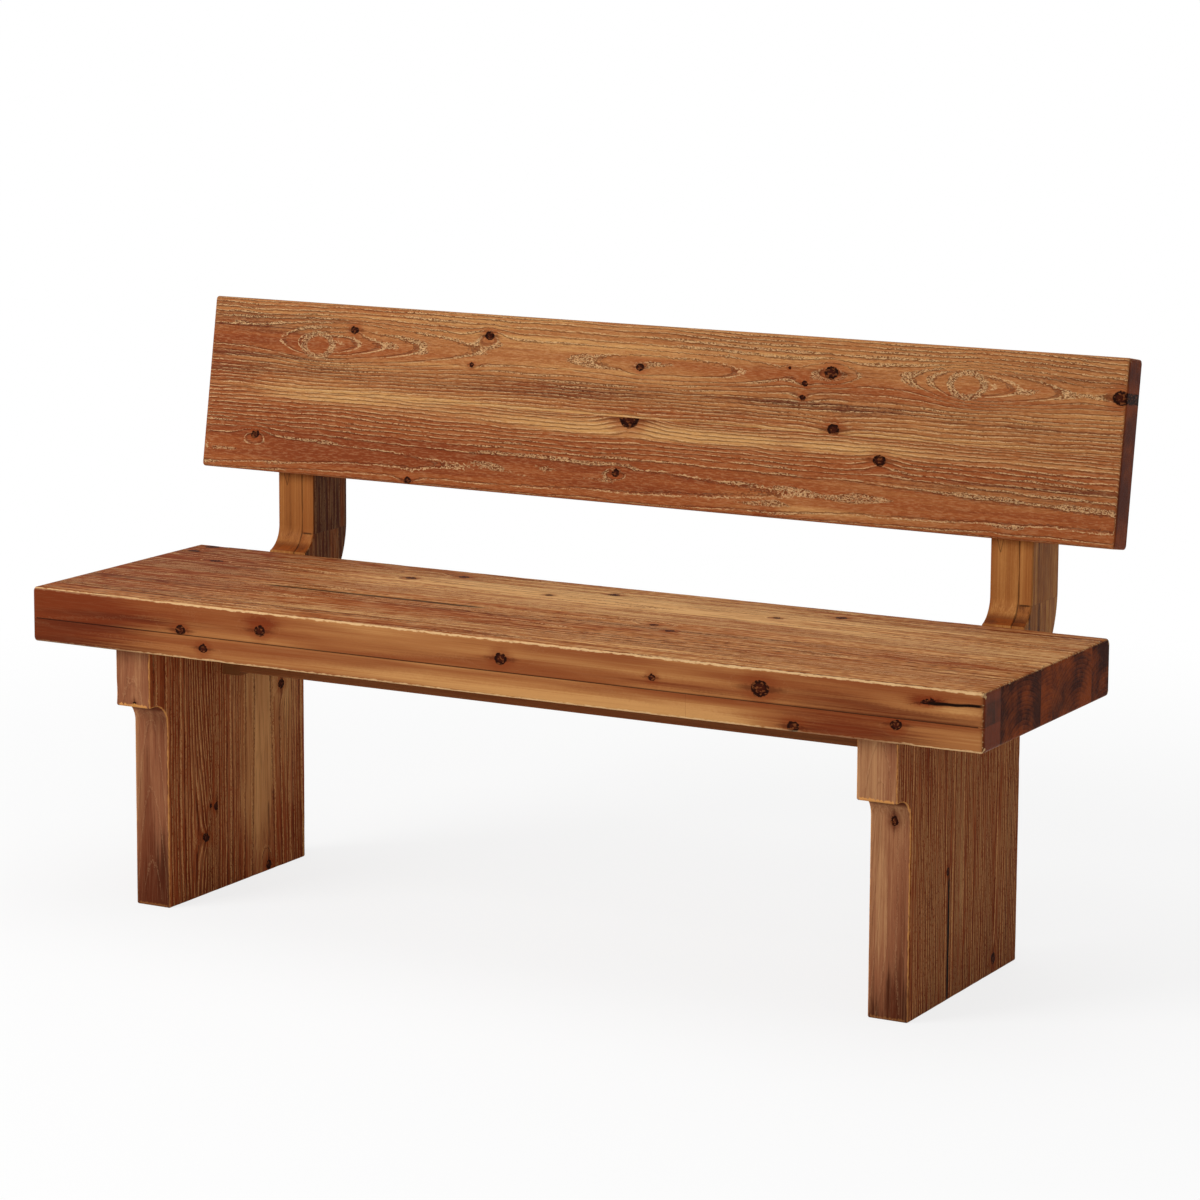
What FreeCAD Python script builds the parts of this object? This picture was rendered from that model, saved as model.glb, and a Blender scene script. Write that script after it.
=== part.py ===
import FreeCAD
import Part
import math
import os
import Sketcher

# A dining bench with a tilted backrest. The seat, legs, posts and backrest are glued up from boards.
# X runs along the bench, Y to the back, Z up from the floor; the origin is under the middle.

doc = FreeCAD.newDocument("dining_bench")
sheet = doc.addObject("Spreadsheet::Sheet", "dim")

SIZES = (
    ("seat_length", 1500, "length of the seat and of the backrest"),
    ("seat_depth", 430, "seat from front to back"),
    ("seat_thickness", 80, "thickness of the seat slab"),
    ("seat_height", 471, "top of the seat above the floor"),
    ("seat_easing", 5, "rounding of the seat's outer edges"),
    ("nose_share", 0.128, "share of the seat's depth in the nose boards"),
    ("front_board_share", 0.31, "share in the board behind the nose"),
    ("middle_board_share", 0.09, "share in the narrow middle board"),
    ("rear_board_share", 0.32, "share in the board behind the middle"),
    ("nose_seam_share", 0.43, "height of the nose seam as a share of the thickness"),
    ("nose_joint_share", 0.714, "place of the lower nose board's butt joint along the length"),
    ("back_height", 262, "backrest along its slope"),
    ("back_thickness", 48, "thickness of the backrest"),
    ("back_tilt", 9.5, "lean of the backrest in degrees"),
    ("back_rise", 122, "backrest's lower front edge above the seat"),
    ("back_setback", 4, "backrest's lower front edge behind the seat"),
    ("back_easing", 4, "rounding of the backrest's edges"),
    ("back_seam_share", 0.48, "height of the backrest's seam as a share of its height"),
    ("leg_thickness", 59, "thickness of a leg"),
    ("leg_inset", 159, "middle of a leg from the seat's end"),
    ("leg_easing", 3, "rounding of the legs' and posts' edges"),
    ("leg_front_share", 0.35, "share of the foot's depth in the front stave"),
    ("leg_middle_share", 0.53, "share of the foot's depth in the middle stave"),
    ("head_setback", 23, "front of the leg's head behind the seat's front"),
    ("head_height", 86, "height of the leg's head"),
    ("head_reach", 45, "how far the head stands out from the lower leg"),
    ("head_curve", 31, "radius of the hollow under the head"),
    ("post_width", 64, "width of a post"),
    ("post_main_share", 0.68, "share of the width in the main stave"),
    ("post_setback", 24.5, "front of the post behind the seat"),
    ("post_depth", 94.5, "post from front to back"),
    ("post_curve", 38, "radius of the post's hollow front curve"),
    ("post_joint_rise", 28, "butt joint of the side stave above the seat"),
    ("post_top_drop", 30, "top of the post below the backrest's top, along the slope"),
    ("stretcher_height", 61, "height of the stretcher"),
    ("stretcher_thickness", 40, "thickness of the stretcher"),
    ("stretcher_lead", 18, "front of the stretcher before the seam of middle and rear seat boards"),
    ("cleat_thickness", 31, "thickness of a cleat"),
    ("cleat_height", 66, "height of a cleat"),
    ("cleat_length", 160, "length of a cleat"),
    ("fit", 0.3, "clearance round a fastener"),
    ("dowel_diameter", 12, "leg dowel"),
    ("dowel_length", 60, "leg dowel"),
    ("coach_diameter", 8, "coach screw from post to seat"),
    ("coach_grip", 45, "wood of the post under the coach screw's washer"),
    ("hex_width", 13, "width across flats of bolt and coach screw heads"),
    ("hex_height", 5.5, "height of bolt and coach screw heads"),
    ("washer_diameter", 18, "washer"),
    ("washer_thickness", 1.6, "washer"),
    ("bolt_diameter", 8, "bolt from cleat to seat"),
    ("insert_diameter", 12, "threaded insert in the seat"),
    ("insert_length", 20, "threaded insert in the seat"),
    ("screw_diameter", 5, "wood screw in cleat and backrest"),
    ("screw_head", 10, "wood screw head"),
    ("cleat_screw_bite", 24, "depth of the cleat screw in the leg"),
    ("cleat_screw_rise", 20, "screw above the cleat's underside"),
    ("back_screw_bite", 34, "depth of the back screw in the backrest"),
    ("back_screw_bore", 12, "bore that sinks the screw's head"),
    ("long_screw_diameter", 6, "screw from stretcher to seat"),
    ("long_screw_head", 12, "screw from stretcher to seat"),
    ("long_screw_bite", 29, "depth of that screw in the seat"),
)

for row, (alias, number, note) in enumerate(SIZES, start=1):
    sheet.set(f"A{row}", alias)
    sheet.set(f"B{row}", str(number))
    sheet.set(f"C{row}", note)
    sheet.setAlias(f"B{row}", alias)
doc.recompute()

# Places that several pieces share, written as expressions over the sheet.
SEAT_FRONT = "-(dim.seat_depth + dim.post_setback + dim.post_depth) / 2"
SEAT_BACK = f"({SEAT_FRONT} + dim.seat_depth)"
SEAT_LEFT = "-dim.seat_length / 2"
UNDERSIDE = "(dim.seat_height - dim.seat_thickness)"
LEG_MIDDLE = "(dim.seat_length / 2 - dim.leg_inset)"
FOOT_DEPTH = "(dim.seat_depth - dim.head_setback - dim.head_reach)"
REAR_SEAM = "(dim.seat_depth * (dim.nose_share + dim.front_board_share + dim.middle_board_share))"
REAR_BOARD = "(dim.seat_depth * dim.rear_board_share)"
BACK_BOARD = f"(dim.seat_depth - {REAR_SEAM} - {REAR_BOARD})"
CLEAT_SETBACK = f"({REAR_SEAM} - dim.stretcher_lead)"
CLEAT_FRONT = f"({SEAT_FRONT} + {CLEAT_SETBACK})"
MAIN_WIDTH = "(dim.post_width * dim.post_main_share)"
BACK_Z = "(dim.seat_height + dim.back_rise)"
BACK_Y = f"({SEAT_BACK} + dim.back_setback)"
SIDES = (("left", -1), ("right", 1))
NORMAL = FreeCAD.Vector(0, 0, 1)
RIGHT_ANGLE = 90
DRIVE_SHARE = 0.45
TIP_SHARE = 0.8
POINT_SHARE = 0.3
PAN_SHARE = 0.35
BUTTON_SHARE = 0.8
HEX_SIDES = 6
STRETCHER_SCREW_SHARES = (-0.4, -0.14, 0.14, 0.4)
TOUCH = 0.001

# Places of the fasteners along the boards that hold them.
COACH_SHARES = (0.475, 0.8)
COACH_REACH_SHARE = 0.82
BOLT_SHARES = (0.43, 0.76)
BOLT_REACH_SHARE = 0.87
CLEAT_SCREW_SHARES = (0.29, 0.6, 0.91)
LOWER_SCREW_SHARES = (0.14, 0.32)
UPPER_SCREW_SHARES = (0.56, 0.7)
BACK_SCREW_SHARES = LOWER_SCREW_SHARES + UPPER_SCREW_SHARES
GRIP_SHARE = 0.78
LONG_SCREW_SHARE = 0.7
FRONT_DOWEL_SHARES = (0.5,)
REAR_DOWEL_SHARES = (0.2, 0.8)
FRONT_DOWELS = [f"(dim.seat_depth * (dim.nose_share + {share} * dim.front_board_share))"
                for share in FRONT_DOWEL_SHARES]
REAR_DOWELS = [f"({REAR_SEAM} + {share} * {REAR_BOARD})" for share in REAR_DOWEL_SHARES]
BOLT_PLACES = [f"({CLEAT_SETBACK} + {share} * dim.cleat_length)" for share in BOLT_SHARES]
COACH_PLACES = [f"({share} * dim.seat_thickness)" for share in COACH_SHARES]

# Middle of the post's main stave from the middle of the leg, and what the fasteners reach.
COACH_SHIFT = f"({MAIN_WIDTH} - dim.post_width) / 2"
COACH_REACH = f"({COACH_REACH_SHARE} * {BACK_BOARD})"
CLEAT_MIDDLE = f"({LEG_MIDDLE} - dim.leg_thickness / 2 - dim.cleat_thickness / 2)"
STRETCHER_LENGTH = f"(2 * ({LEG_MIDDLE} - dim.leg_thickness / 2 - dim.cleat_thickness))"

nodes = []


def value(text):
    """Number that an expression over the sheet gives now."""
    result = sheet.evalExpression(text)
    return float(getattr(result, "Value", result))


def bind(item, links):
    """Tie properties of an object to expressions."""
    for path, text in links.items():
        item.setExpression(path, text)


def place(item, x, y, z):
    """Tie the place of an object to expressions."""
    bind(item, {"Placement.Base.x": x, "Placement.Base.y": y, "Placement.Base.z": z})


def new_body(label):
    """Empty body for one wooden piece, listed as a piece to write out."""
    body = doc.addObject("PartDesign::Body", label)
    body.Label = label
    nodes.append(body)
    return body


def new_sketch(body, name, role, lift="0"):
    """Sketch on one of the body's own planes, lifted along that plane's normal."""
    sketch = body.newObject("Sketcher::SketchObject", f"{body.Label}_{name}")
    plane = next(item for item in body.Origin.OriginFeatures if item.Role == role)
    sketch.AttachmentSupport = [(plane, "")]
    sketch.MapMode = "FlatFace"
    bind(sketch, {"AttachmentOffset.Base.z": lift})
    return sketch


def fix(sketch, kind, target, text, name):
    """Add one driving dimension to a sketch and tie it to an expression."""
    index = sketch.addConstraint(Sketcher.Constraint(kind, *target, value(text)))
    sketch.renameConstraint(index, name)
    if text != "0":
        bind(sketch, {f"Constraints.{name}": text})


def arc_between(start, end, radius, turn):
    """Short arc of a radius from start to end, counter-clockwise when turn is positive."""
    chord = end - start
    left = FreeCAD.Vector(-chord.y, chord.x, 0).normalize()
    reach = math.sqrt(max(radius ** 2 - (chord.Length / 2) ** 2, 0))
    centre = (start + end) / 2 + left * reach * turn
    first, last = (start, end) if turn > 0 else (end, start)
    angles = [math.atan2(spot.y - centre.y, spot.x - centre.x) for spot in (first, last)]
    if angles[1] < angles[0]:
        angles[1] += 2 * math.pi
    return Part.ArcOfCircle(Part.Circle(centre, NORMAL, radius), *angles)


def draw_outline(sketch, corners):
    """Closed outline; a corner is (x, y), or (x, y, radius, turn) when an arc leaves it."""
    count = len(corners)
    spots = [FreeCAD.Vector(value(corner[0]), value(corner[1]), 0) for corner in corners]
    ends = []
    for index, corner in enumerate(corners):
        start, end = spots[index], spots[(index + 1) % count]
        if len(corner) > 2:
            sketch.addGeometry(arc_between(start, end, value(corner[2]), corner[3]), False)
            ends.append((1, 2) if corner[3] > 0 else (2, 1))
        else:
            sketch.addGeometry(Part.LineSegment(start, end), False)
            ends.append((1, 2))
    for index in range(count):
        after = (index + 1) % count
        link = (index, ends[index][1], after, ends[after][0])
        sketch.addConstraint(Sketcher.Constraint("Coincident", *link))
    for index, corner in enumerate(corners):
        fix(sketch, "DistanceX", (index, ends[index][0]), corner[0], f"corner_{index}_across")
        fix(sketch, "DistanceY", (index, ends[index][0]), corner[1], f"corner_{index}_up")
        if len(corner) > 2:
            fix(sketch, "Radius", (index,), corner[2], f"corner_{index}_curve")


def draw_circles(sketch, spots, diameter):
    """One circle of a diameter at each spot."""
    for index, (across, up) in enumerate(spots):
        centre = FreeCAD.Vector(value(across), value(up), 0)
        sketch.addGeometry(Part.Circle(centre, NORMAL, value(diameter) / 2), False)
        fix(sketch, "DistanceX", (index, 3), across, f"spot_{index}_across")
        fix(sketch, "DistanceY", (index, 3), up, f"spot_{index}_up")
        fix(sketch, "Diameter", (index,), diameter, f"spot_{index}_bore")


def extrude(body, corners, length):
    """Pad a side profile along the bench."""
    sketch = new_sketch(body, "profile", "YZ_Plane")
    draw_outline(sketch, corners)
    pad = body.newObject("PartDesign::Pad", f"{body.Label}_pad")
    pad.Profile = sketch
    bind(pad, {"Length": length})
    sketch.Visibility = False
    doc.recompute()
    return pad


def ease(body, radius, wanted):
    """Round the edges of the body that the test picks."""
    base = body.Tip
    names = [f"Edge{i}" for i, edge in enumerate(base.Shape.Edges, start=1) if wanted(edge)]
    fillet = body.newObject("PartDesign::Fillet", f"{body.Label}_easing")
    fillet.Base = (base, names)
    bind(fillet, {"Radius": radius})
    doc.recompute()


def drill(body, name, role, lift, spots, diameter, depth, inward=True):
    """Cut round holes from a plane of the body; inward cuts along the plane's normal."""
    before = body.Shape.Volume
    sketch = new_sketch(body, name, role, lift)
    draw_circles(sketch, spots, diameter)
    pocket = body.newObject("PartDesign::Pocket", f"{body.Label}_{name}_cut")
    pocket.Profile = sketch
    pocket.Reversed = inward
    bind(pocket, {"Length": depth})
    sketch.Visibility = False
    doc.recompute()
    if not body.Shape.Volume < before:
        raise ValueError(f"{body.Label}: {name} cuts nothing")


def countersink(body, name, role, lift, spots, diameter, head, inward=True):
    """Drill through holes with a sunk cone for a screw's head."""
    before = body.Shape.Volume
    sketch = new_sketch(body, name, role, lift)
    draw_circles(sketch, spots, diameter)
    doc.recompute()
    hole = body.newObject("PartDesign::Hole", f"{body.Label}_{name}_hole")
    hole.Profile = sketch
    hole.Reversed = inward
    doc.recompute()
    hole.ThreadType = "None"
    hole.DepthType = "ThroughAll"
    hole.HoleCutType = "Countersink"
    hole.HoleCutCustomValues = True
    bind(hole, {"Diameter": diameter, "HoleCutDiameter": head})
    hole.HoleCutCountersinkAngle = RIGHT_ANGLE
    sketch.Visibility = False
    doc.recompute()
    if not body.Shape.Volume < before:
        raise ValueError(f"{body.Label}: {name} cuts nothing")


def on_plane(edge, axis, level):
    """Whether an edge lies in the plane where a coordinate has the given value."""
    spots = [vertex.Point for vertex in edge.Vertexes] + [edge.CenterOfMass]
    return all(abs(getattr(spot, axis) - level) < TOUCH for spot in spots)


def board(label, length, depth, height, outer):
    """Seat board with its own corner at the origin; edges between outer faces are eased."""
    body = new_body(label)
    extrude(body, [("0", "0"), (depth, "0"), (depth, height), ("0", height)], length)
    faces = {
        "left": ("x", 0), "right": ("x", value(length)), "front": ("y", 0),
        "back": ("y", value(depth)), "bottom": ("z", 0), "top": ("z", value(height)),
    }
    shown = [faces[side] for side in outer]
    ease(body, "dim.seat_easing", lambda edge: sum(on_plane(edge, *face) for face in shown) > 1)
    return body


def seat():
    """Seat slab: two nose boards one above the other, then four boards to the back."""
    nose_depth = "dim.seat_depth * dim.nose_share"
    seam = "dim.seat_thickness * dim.nose_seam_share"
    joint = "dim.seat_length * dim.nose_joint_share"
    upper = board("seat_nose_upper", "dim.seat_length", nose_depth, f"dim.seat_thickness - {seam}",
                  ("left", "right", "front", "top"))
    place(upper, SEAT_LEFT, SEAT_FRONT, f"{UNDERSIDE} + {seam}")
    left = board("seat_nose_lower_left", joint, nose_depth, seam, ("left", "front", "bottom"))
    place(left, SEAT_LEFT, SEAT_FRONT, UNDERSIDE)
    right = board("seat_nose_lower_right", f"dim.seat_length - {joint}", nose_depth, seam,
                  ("right", "front", "bottom"))
    place(right, f"{SEAT_LEFT} + {joint}", SEAT_FRONT, UNDERSIDE)

    ends = ("left", "right", "top", "bottom")
    start = "dim.nose_share"
    for name in ("front", "middle", "rear"):
        share = f"dim.{name}_board_share"
        piece = board(f"seat_board_{name}", "dim.seat_length", f"dim.seat_depth * {share}",
                      "dim.seat_thickness", ends)
        place(piece, SEAT_LEFT, f"{SEAT_FRONT} + dim.seat_depth * ({start})", UNDERSIDE)
        drill_seat_board(piece, name, f"dim.seat_depth * ({start})")
        start = f"{start} + {share}"
    depth = f"dim.seat_depth * (1 - ({start}))"
    piece = board("seat_board_back", "dim.seat_length", depth, "dim.seat_thickness", ends + ("back",))
    place(piece, SEAT_LEFT, f"{SEAT_FRONT} + dim.seat_depth * ({start})", UNDERSIDE)
    spots = []
    for _, side in SIDES:
        for up in COACH_PLACES:
            spots.append((f"dim.seat_length / 2 + {side} * {LEG_MIDDLE} + {COACH_SHIFT}", up))
    drill(piece, "coach", "XZ_Plane", f"-({depth})", spots, "dim.coach_diameter + 2 * dim.fit",
          f"{COACH_REACH} + dim.fit")


def drill_seat_board(piece, name, front):
    """Blind holes in a seat board's underside for dowels, inserts and the stretcher's screws."""
    dowels = {"front": FRONT_DOWELS, "middle": (), "rear": REAR_DOWELS}[name]
    centre = "dim.seat_length / 2"
    spots = [(f"{centre} + {side} * {LEG_MIDDLE}", f"{spot} - {front}")
             for spot in dowels for _, side in SIDES]
    if spots:
        drill(piece, "dowel", "XY_Plane", "0", spots, "dim.dowel_diameter + 2 * dim.fit",
              "dim.dowel_length / 2 + dim.fit")
    if name == "rear":
        spots = [(f"{centre} + {side} * {CLEAT_MIDDLE}", f"{spot} - {front}")
                 for spot in BOLT_PLACES for _, side in SIDES]
        drill(piece, "insert", "XY_Plane", "0", spots, "dim.insert_diameter + 2 * dim.fit",
              "dim.insert_length")
        spots = [(f"{centre} + {share} * {STRETCHER_LENGTH}",
                  f"{CLEAT_SETBACK} + {LONG_SCREW_SHARE} * dim.stretcher_thickness - {front}")
                 for share in STRETCHER_SCREW_SHARES]
        drill(piece, "screw", "XY_Plane", "0", spots, "dim.long_screw_diameter + 2 * dim.fit",
              "dim.long_screw_bite + dim.fit")


def backrest():
    """Two boards glued edge to edge, drawn in their leaning position."""
    lower = "dim.back_height * dim.back_seam_share"
    boards = (
        ("back_board_lower", "0", lower, LOWER_SCREW_SHARES),
        ("back_board_upper", lower, "dim.back_height", UPPER_SCREW_SHARES),
    )
    for label, low, high, shares in boards:
        body = new_body(label)
        corners = []
        for along, through in ((low, "0"), (low, "dim.back_thickness"),
                               (high, "dim.back_thickness"), (high, "0")):
            corners.append((f"{along} * sin(dim.back_tilt) + {through} * cos(dim.back_tilt)",
                            f"{along} * cos(dim.back_tilt) - {through} * sin(dim.back_tilt)"))
        extrude(body, corners, "dim.seat_length")
        tilt = math.radians(value("dim.back_tilt"))
        seam = value(lower)

        def free(edge):
            """Whether an edge is off the glued seam."""
            middle = edge.CenterOfMass
            return abs(middle.y * math.sin(tilt) + middle.z * math.cos(tilt) - seam) > TOUCH

        ease(body, "dim.back_easing", free)
        place(body, SEAT_LEFT, BACK_Y, BACK_Z)
        for step, share in enumerate(shares):
            up = back_screw_up(share)
            spots = [(f"dim.seat_length / 2 + {side} * {LEG_MIDDLE} + {COACH_SHIFT}", up)
                     for _, side in SIDES]
            rear = back_plane(up)
            drill(body, f"screw_{step}", "XZ_Plane", f"-({rear} + dim.back_thickness)", spots,
                  "dim.screw_diameter + 2 * dim.fit",
                  "dim.back_thickness + dim.back_screw_bite + dim.fit")


def back_screw_up(share):
    """Height of a back screw above the backrest's lower front edge."""
    return f"({share} * dim.back_height)"


def back_plane(up):
    """Rear face of the backrest behind its lower front edge, at a height above that edge."""
    return f"(dim.back_thickness / cos(dim.back_tilt) + {up} * tan(dim.back_tilt))"


def back_screw_grip():
    """Wood of the post under every back screw's head, from the post's depth at the top screw."""
    top = back_plane(back_screw_up(max(BACK_SCREW_SHARES)))
    return f"({GRIP_SHARE} * (dim.post_setback + dim.post_depth - dim.back_setback - {top}))"


def legs():
    """Two slab legs of three glued staves; the front stave carries the head and its hollow."""
    front = f"({FOOT_DEPTH} * dim.leg_front_share)"
    middle = f"({FOOT_DEPTH} * dim.leg_middle_share)"
    rear = f"({FOOT_DEPTH} - {front} - {middle})"
    foot = "dim.head_reach"
    below = f"({UNDERSIDE} - dim.head_height)"
    for name, side in SIDES:
        left = f"{side} * {LEG_MIDDLE} - dim.leg_thickness / 2"
        body = new_body(f"leg_{name}_front")
        joint = f"{foot} + {front}"
        extrude(body, [
            (foot, "0"), (joint, "0"), (joint, UNDERSIDE), ("0", UNDERSIDE), ("0", below),
            (f"{foot} - dim.head_curve", below, "dim.head_curve", -1),
            (foot, f"{below} - dim.head_curve"),
        ], "dim.leg_thickness")
        ease_stave(body, [(value(foot), 0), (0, value(below))], value(joint))
        head = f"{SEAT_FRONT} + dim.head_setback"
        place(body, left, head, "0")
        drill_leg(body, "dowel", FRONT_DOWELS, "dim.head_setback")

        body = new_body(f"leg_{name}_middle")
        extrude(body, [("0", "0"), (middle, "0"), (middle, UNDERSIDE), ("0", UNDERSIDE)],
                "dim.leg_thickness")
        start = f"dim.head_setback + {joint}"
        ease_stave(body, [], 0, value(middle))
        place(body, left, f"{SEAT_FRONT} + {start}", "0")
        drill_leg(body, "dowel", REAR_DOWELS, f"({start})")
        inner = "dim.leg_thickness" if side < 0 else "0"
        spots = [(f"{CLEAT_SETBACK} + {share} * dim.cleat_length - ({start})",
                  f"{UNDERSIDE} - dim.cleat_height + dim.cleat_screw_rise") for share in CLEAT_SCREW_SHARES]
        drill(body, "cleat", "YZ_Plane", inner, spots, "dim.screw_diameter + 2 * dim.fit",
              "dim.cleat_screw_bite + dim.fit", side > 0)

        body = new_body(f"leg_{name}_rear")
        extrude(body, [("0", "0"), (rear, "0"), (rear, UNDERSIDE), ("0", UNDERSIDE)],
                "dim.leg_thickness")
        ease_stave(body, [(value(rear), 0)], 0)
        place(body, left, f"{SEAT_BACK} - {rear}", "0")


def ease_stave(body, corners, *joints):
    """Round a stave's edges on its two faces and at free corners, but not at the seat or a seam."""
    top = value(UNDERSIDE)
    width = value("dim.leg_thickness")

    def free(edge):
        """Whether an edge of the stave stays open once the leg is glued and fixed."""
        if on_plane(edge, "z", top) or any(on_plane(edge, "y", joint) for joint in joints):
            return False
        if on_plane(edge, "x", 0) or on_plane(edge, "x", width):
            return True
        return any(on_plane(edge, "y", across) and on_plane(edge, "z", up) for across, up in corners)

    ease(body, "dim.leg_easing", free)


def drill_leg(body, name, dowels, front):
    """Blind dowel holes in a stave's top end; the dowels stand on their bottoms."""
    spots = [("dim.leg_thickness / 2", f"{spot} - {front}") for spot in dowels]
    drill(body, name, "XY_Plane", UNDERSIDE, spots, "dim.dowel_diameter + 2 * dim.fit",
          "dim.dowel_length / 2", False)


def post_places():
    """Points of a post's side profile, from the seat's back edge and the floor."""
    centre_y = "(dim.post_setback - dim.post_curve)"
    centre_z = "(dim.seat_height + dim.post_curve)"
    outer = "(dim.post_curve + dim.post_depth)"
    joint = "(dim.seat_height + dim.post_joint_rise)"
    sink = f"({centre_z} - {joint})"
    front = "dim.post_setback"
    rear = "(dim.post_setback + dim.post_depth)"
    lean = "(dim.back_height - dim.post_top_drop)"
    shoulder_y = "(dim.back_setback + dim.back_thickness * cos(dim.back_tilt))"
    shoulder_z = f"({BACK_Z} - dim.back_thickness * sin(dim.back_tilt))"
    return {
        "outer": outer,
        "seat_low": ("0", f"{centre_z} - sqrt({outer} ^ 2 - {centre_y} ^ 2)"),
        "seat_high": ("0", f"{centre_z} - sqrt(dim.post_curve ^ 2 - {centre_y} ^ 2)"),
        "joint_rear": (f"{centre_y} + sqrt({outer} ^ 2 - {sink} ^ 2)", joint),
        "joint_front": (f"{centre_y} + sqrt(dim.post_curve ^ 2 - {sink} ^ 2)", joint),
        "bend_rear": (rear, centre_z),
        "bend_front": (front, centre_z),
        "top_rear": (rear, f"{shoulder_z} + {lean} * cos(dim.back_tilt)"),
        "top_front": (f"{shoulder_y} + {lean} * sin(dim.back_tilt)",
                      f"{shoulder_z} + {lean} * cos(dim.back_tilt)"),
        "notch": (shoulder_y, shoulder_z),
        "shoulder": (front, f"{BACK_Z} - (dim.post_setback - dim.back_setback) * tan(dim.back_tilt)"),
    }


def posts():
    """Curved posts: a main stave with every hole, and a side stave in two lengths beside it."""
    spot = post_places()
    outer = (spot["outer"], 1)
    inner = ("dim.post_curve", -1)
    upper_end = [spot["bend_rear"], spot["top_rear"], spot["top_front"], spot["notch"], spot["shoulder"],
                 spot["bend_front"] + inner]
    profiles = {
        "main": [spot["seat_low"] + outer] + upper_end + [spot["seat_high"]],
        "side_upper": [spot["joint_front"], spot["joint_rear"] + outer] + upper_end,
        "side_lower": [spot["seat_low"] + outer, spot["joint_rear"],
                       spot["joint_front"] + inner, spot["seat_high"]],
    }
    rear = spot["bend_rear"][0]
    for name, side in SIDES:
        left = f"{side} * {LEG_MIDDLE} - dim.post_width / 2"
        for part, profile in profiles.items():
            body = new_body(f"post_{name}_{part}")
            main = part == "main"
            width = MAIN_WIDTH if main else f"dim.post_width - {MAIN_WIDTH}"
            extrude(body, profile, width)
            ease_post(body, 0 if main else value(width), spot)
            place(body, left if main else f"{left} + {MAIN_WIDTH}", SEAT_BACK, "0")
            if not main:
                continue
            spots = [(f"{MAIN_WIDTH} / 2", f"{UNDERSIDE} + {up}") for up in COACH_PLACES]
            drill(body, "coach", "XZ_Plane", "0", spots, "dim.coach_diameter + 2 * dim.fit",
                  rear, False)
            drill(body, "coach_bore", "XZ_Plane", f"-({rear})", spots,
                  "dim.washer_diameter + 2 * dim.fit", f"{rear} - dim.coach_grip")
            spots = [(f"{MAIN_WIDTH} / 2", f"{BACK_Z} + {back_screw_up(share)}")
                     for share in BACK_SCREW_SHARES]
            drill(body, "back", "XZ_Plane", f"-({rear})", spots, "dim.screw_diameter + 2 * dim.fit",
                  rear)
            for step, share in enumerate(BACK_SCREW_SHARES):
                sunk = f"dim.back_setback + {back_plane(back_screw_up(share))} + {back_screw_grip()}"
                drill(body, f"back_bore_{step}", "XZ_Plane", f"-({rear})", spots[step:step + 1],
                      "dim.back_screw_bore", f"{rear} - ({sunk})")


def ease_post(body, face, spot):
    """Round a post stave's free edges on its outer face, off the seat, the backrest and the joint."""
    notch_y, notch_z = (value(text) for text in spot["notch"])
    top_z = value(spot["top_front"][1])
    joint = value(spot["joint_rear"][1])
    front = value(spot["bend_front"][0])
    rear = value(spot["bend_rear"][0])

    def free(edge):
        """Whether an edge of the post stays open once the bench is together."""
        if not on_plane(edge, "x", face) or on_plane(edge, "y", 0) or on_plane(edge, "z", joint):
            return False
        middle = edge.CenterOfMass
        leans = middle.z > notch_z and middle.y < rear - TOUCH and middle.z < top_z - TOUCH
        return not leans or abs(middle.y - front) < TOUCH

    ease(body, "dim.leg_easing", free)


def under_frame():
    """Stretcher below the seat and the two cleats that it butts against."""
    body = new_body("stretcher")
    extrude(body, [("0", "0"), ("dim.stretcher_thickness", "0"),
                   ("dim.stretcher_thickness", "dim.stretcher_height"), ("0", "dim.stretcher_height")],
            STRETCHER_LENGTH)
    ends = (0, value(STRETCHER_LENGTH))
    ease(body, "dim.leg_easing", lambda edge: on_plane(edge, "z", 0)
         and not any(on_plane(edge, "x", end) for end in ends))
    place(body, f"-{STRETCHER_LENGTH} / 2", CLEAT_FRONT, f"{UNDERSIDE} - dim.stretcher_height")
    spots = [(f"(1 / 2 + {share}) * {STRETCHER_LENGTH}", f"{LONG_SCREW_SHARE} * dim.stretcher_thickness")
             for share in STRETCHER_SCREW_SHARES]
    countersink(body, "screw", "XY_Plane", "0", spots, "dim.long_screw_diameter + 2 * dim.fit",
                "dim.long_screw_head + 2 * dim.fit")

    for name, side in SIDES:
        body = new_body(f"cleat_{name}")
        extrude(body, [("0", "0"), ("dim.cleat_length", "0"), ("dim.cleat_length", "dim.cleat_height"),
                       ("0", "dim.cleat_height")], "dim.cleat_thickness")
        left = f"{side} * ({LEG_MIDDLE} - dim.leg_thickness / 2 - dim.cleat_thickness / 2)"
        place(body, f"{left} - dim.cleat_thickness / 2", CLEAT_FRONT, f"{UNDERSIDE} - dim.cleat_height")
        inner = "dim.cleat_thickness" if side < 0 else "0"
        spots = [(f"{share} * dim.cleat_length", "dim.cleat_screw_rise") for share in CLEAT_SCREW_SHARES]
        countersink(body, "screw", "YZ_Plane", inner, spots, "dim.screw_diameter + 2 * dim.fit",
                    "dim.screw_head + 2 * dim.fit", side > 0)
        spots = [("dim.cleat_thickness / 2", f"{spot} - {CLEAT_SETBACK}") for spot in BOLT_PLACES]
        drill(body, "bolt", "XY_Plane", "0", spots, "dim.bolt_diameter + 2 * dim.fit",
              "dim.cleat_height")


def primitive(kind, name, links):
    """Solid primitive with its sizes tied to expressions."""
    item = doc.addObject(kind, name)
    bind(item, links)
    return item


def joined(name, pieces):
    """One solid from touching primitives."""
    fuse = doc.addObject("Part::MultiFuse", name)
    fuse.Shapes = pieces
    fuse.Refine = True
    return fuse


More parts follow.
